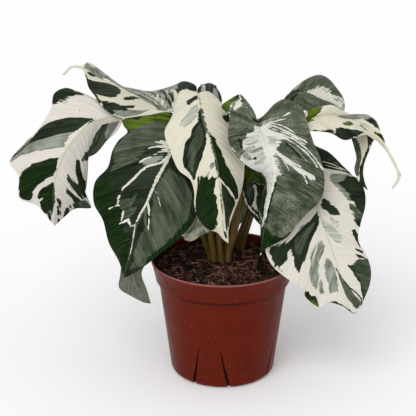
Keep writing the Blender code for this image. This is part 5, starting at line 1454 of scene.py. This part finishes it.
def makeStrewTree(crumbMaterial):
    b = peatBuild
    tree, given, groupOut = newTree(
        "GeometryNodeTree", "strewnPeat",
        [("Geometry", "Geometry", None), ("Crumbs", "Int", 1000), ("Crumb Size", "Float", 0.001),
         ("Fibres", "Int", 400), ("Fibre Length", "Float", 0.006), ("Fibre Radius", "Float", 0.0001),
         ("Seed", "Int", 1)],
        [("Geometry", "Geometry")],
    )

    def seed(shift):
        return mathNode(tree, "ADD", given["Seed"], float(shift))

    def randomValue(low, high, shift):
        vector = isinstance(low, tuple)
        inputs = {0: low, 1: high} if vector else {2: low, 3: high}
        kind = "FLOAT_VECTOR" if vector else "FLOAT"
        node = addNode(tree, "FunctionNodeRandomValue", {**inputs, "Seed": seed(shift)}, data_type=kind)
        return node.outputs[0 if vector else 1]

    def strew(count, shape, place, turns, sizes, tones, seedShift):
        inputs = {0: namedValue(tree, place), 1: 0.99}  # only faces with every corner on the bed
        chosen = addNode(tree, "FunctionNodeCompare", inputs, data_type="FLOAT", operation="GREATER_THAN")
        spots = addNode(tree, "GeometryNodeDistributePointsOnFaces", {
            "Mesh": given["Geometry"], "Selection": chosen.outputs[0],
            "Density": mathNode(tree, "DIVIDE", count, math.pi * (peatRadius * mm) ** 2), "Seed": seed(seedShift),
        })
        placed = addNode(tree, "GeometryNodeInstanceOnPoints", {
            "Points": spots.outputs[0], "Instance": shape,
            "Scale": joinVector(tree, *(randomValue(*sizes[axis], seedShift + 1 + axis) for axis in range(3))),
            "Rotation": randomValue(tuple(-angle for angle in turns), turns, seedShift + 5),
        })
        return addNode(tree, "GeometryNodeStoreNamedAttribute", {
            "Geometry": placed.outputs[0], "Name": "crumbTone", "Value": randomValue(*tones, seedShift + 6),
        }, data_type="FLOAT", domain="INSTANCE").outputs[0]

    def joined(*parts):
        join = addNode(tree, "GeometryNodeJoinGeometry")
        for part in parts:
            tree.links.new(part, join.inputs[0])
        return join.outputs[0]

    # A crumb is a ball pulled out of round
    ball = addNode(tree, "GeometryNodeMeshIcoSphere", {"Radius": given["Crumb Size"], "Subdivisions": 1})
    where = addNode(tree, "GeometryNodeInputPosition").outputs[0]
    lumpy = addNode(tree, "ShaderNodeTexNoise", {"Vector": where, "Scale": b["lumpScale"], "Detail": 1.0})
    inputs = {0: lumpy.outputs["Color"], 1: (0.5, 0.5, 0.5)}
    pulled = addNode(tree, "ShaderNodeVectorMath", inputs, operation="SUBTRACT")
    inputs = {0: pulled.outputs[0], "Scale": b["lumpHeight"] * mm}
    offset = addNode(tree, "ShaderNodeVectorMath", inputs, operation="SCALE")
    crumb = addNode(tree, "GeometryNodeSetPosition", {"Geometry": ball.outputs[0], "Offset": offset.outputs[0]})
    crumbs = strew(given["Crumbs"], crumb.outputs[0], **b["crumbSpread"])

    # A fibre is a short arc of thin tube
    half = mathNode(tree, "MULTIPLY", given["Fibre Length"], 0.5)
    bend = mathNode(tree, "MULTIPLY", half, b["fibreBow"])
    bow = addNode(tree, "GeometryNodeCurveQuadraticBezier", {
        "Resolution": b["fibreSteps"], "Start": joinVector(tree, mathNode(tree, "MULTIPLY", half, -1.0), 0.0, 0.0),
        "Middle": joinVector(tree, 0.0, bend, mathNode(tree, "MULTIPLY", bend, b["fibreLift"])),
        "End": joinVector(tree, half, 0.0, 0.0),
    })
    ring = addNode(tree, "GeometryNodeCurvePrimitiveCircle", {"Resolution": 4, "Radius": given["Fibre Radius"]})
    thread = addNode(tree, "GeometryNodeCurveToMesh", {
        "Curve": bow.outputs[0], "Profile Curve": ring.outputs[0], "Fill Caps": True,
    })
    fibres = strew(given["Fibres"], thread.outputs[0], **b["fibreSpread"])
    real = addNode(tree, "GeometryNodeRealizeInstances", {"Geometry": joined(fibres, crumbs)})
    coated = addNode(tree, "GeometryNodeSetMaterial", {"Geometry": real.outputs[0], "Material": crumbMaterial})
    setInputs(tree, groupOut, {"Geometry": joined(coated.outputs[0], given["Geometry"])})
    return tree


def makePeatMaterial(name, ground, mottle, pale):
    look = peatLook
    material, tree, spot = newMaterial(name)
    grain = useGroup(tree, grainGroup, spot, look["grain"])
    specks = useGroup(tree, speckGroup, spot, look["specks"])
    colour = tint(tree, ground, grain["Mottle"], *noiseSpan, 1.0, mottle)
    colour = tint(tree, colour, readValue(tree, "crumbTone"), *look["toneSpan"], 1.0, pale)
    colour = cover(tree, colour, specks["Mask"], look["speckStrength"], pale)
    # painted shade: darker in the hollows between clods, lighter on their tops
    shade = ramp(tree, readValue(tree, "clodHeightShade"), *look["clodShade"])
    colour = mixColour(tree, 1.0, colour, joinVector(tree, shade, shade, shade), "MULTIPLY")
    finishMaterial(tree, look, colour, grain["Height"], grain["Mottle"])
    return material


def makePeat():
    b = peatBuild
    bed = makePeatBed(makePeatMaterial("peatDark", *peatLook["dark"]))
    peat = growPiece("peat", bed, makeStrewTree(makePeatMaterial("peatCrumbs", *peatLook["crumbs"])), {
        "Crumbs": b["crumbs"], "Crumb Size": b["crumbSize"] * mm, "Fibres": b["fibres"],
        "Fibre Length": b["fibreLength"] * mm, "Fibre Radius": b["fibreRadius"] * mm, "Seed": b["seed"],
    })
    dressPiece(peat, "soil")


makePeat()
print("peat made")


# Floor, light and camera

studio = dict(
    floorSize=16.0, floorColour=(0.97, 0.97, 0.97), floorShade=0.99, floorPatches=3.0, floorRoughness=0.8,
    skyStrength=0.72, sunStrength=1.45, sunAngle=45.0, sunTurn=(46, 0, -22),
    cameraPlace=(-12.43, -925.74, 480.34), cameraAim=(-12.43, 13.95, 138.32), lens=103.8, sensor=36.0,
    farthest=100.0,
)


def makeFloor():
    material, tree, spot = newMaterial("paleFloor")
    pale = studio["floorColour"]
    shaded = tuple(studio["floorShade"] * c for c in pale)
    setInputs(tree, tree.nodes["Principled BSDF"], {
        "Base Color": mixColour(tree, noiseValue(tree, spot, studio["floorPatches"]), pale, shaded),
        "Roughness": studio["floorRoughness"],
    })
    half = studio["floorSize"] / 2 / mm
    corners = [(-half, -half, 0), (half, -half, 0), (half, half, 0), (-half, half, 0)]
    addPiece("floor", corners, [(0, 1, 2, 3)], [material])


def makeStudio():
    scene = bpy.context.scene
    scene.world = bpy.data.worlds.new("studioSky")
    scene.world.use_nodes = True
    sky = scene.world.node_tree
    setInputs(sky, sky.nodes["Background"], {"Color": (1.0, 1.0, 1.0, 1.0), "Strength": studio["skyStrength"]})
    sun = bpy.data.lights.new("softKey", "SUN")
    sun.energy = studio["sunStrength"]
    sun.angle = math.radians(studio["sunAngle"])
    addObject("softKey", sun).rotation_euler = [math.radians(a) for a in studio["sunTurn"]]

    lens = bpy.data.cameras.new("photoView")
    lens.lens = studio["lens"]
    lens.sensor_width = studio["sensor"]
    lens.sensor_fit = "HORIZONTAL"
    lens.clip_end = studio["farthest"]
    camera = addObject("photoView", lens)
    camera.location = Vector(studio["cameraPlace"]) * mm
    aim = (Vector(studio["cameraAim"]) - Vector(studio["cameraPlace"])).normalized()
    camera.rotation_euler = aim.to_track_quat("-Z", "Y").to_euler()
    scene.camera = camera
    scene.view_settings.view_transform = "Standard"


makeFloor()
makeStudio()
print("studio made")
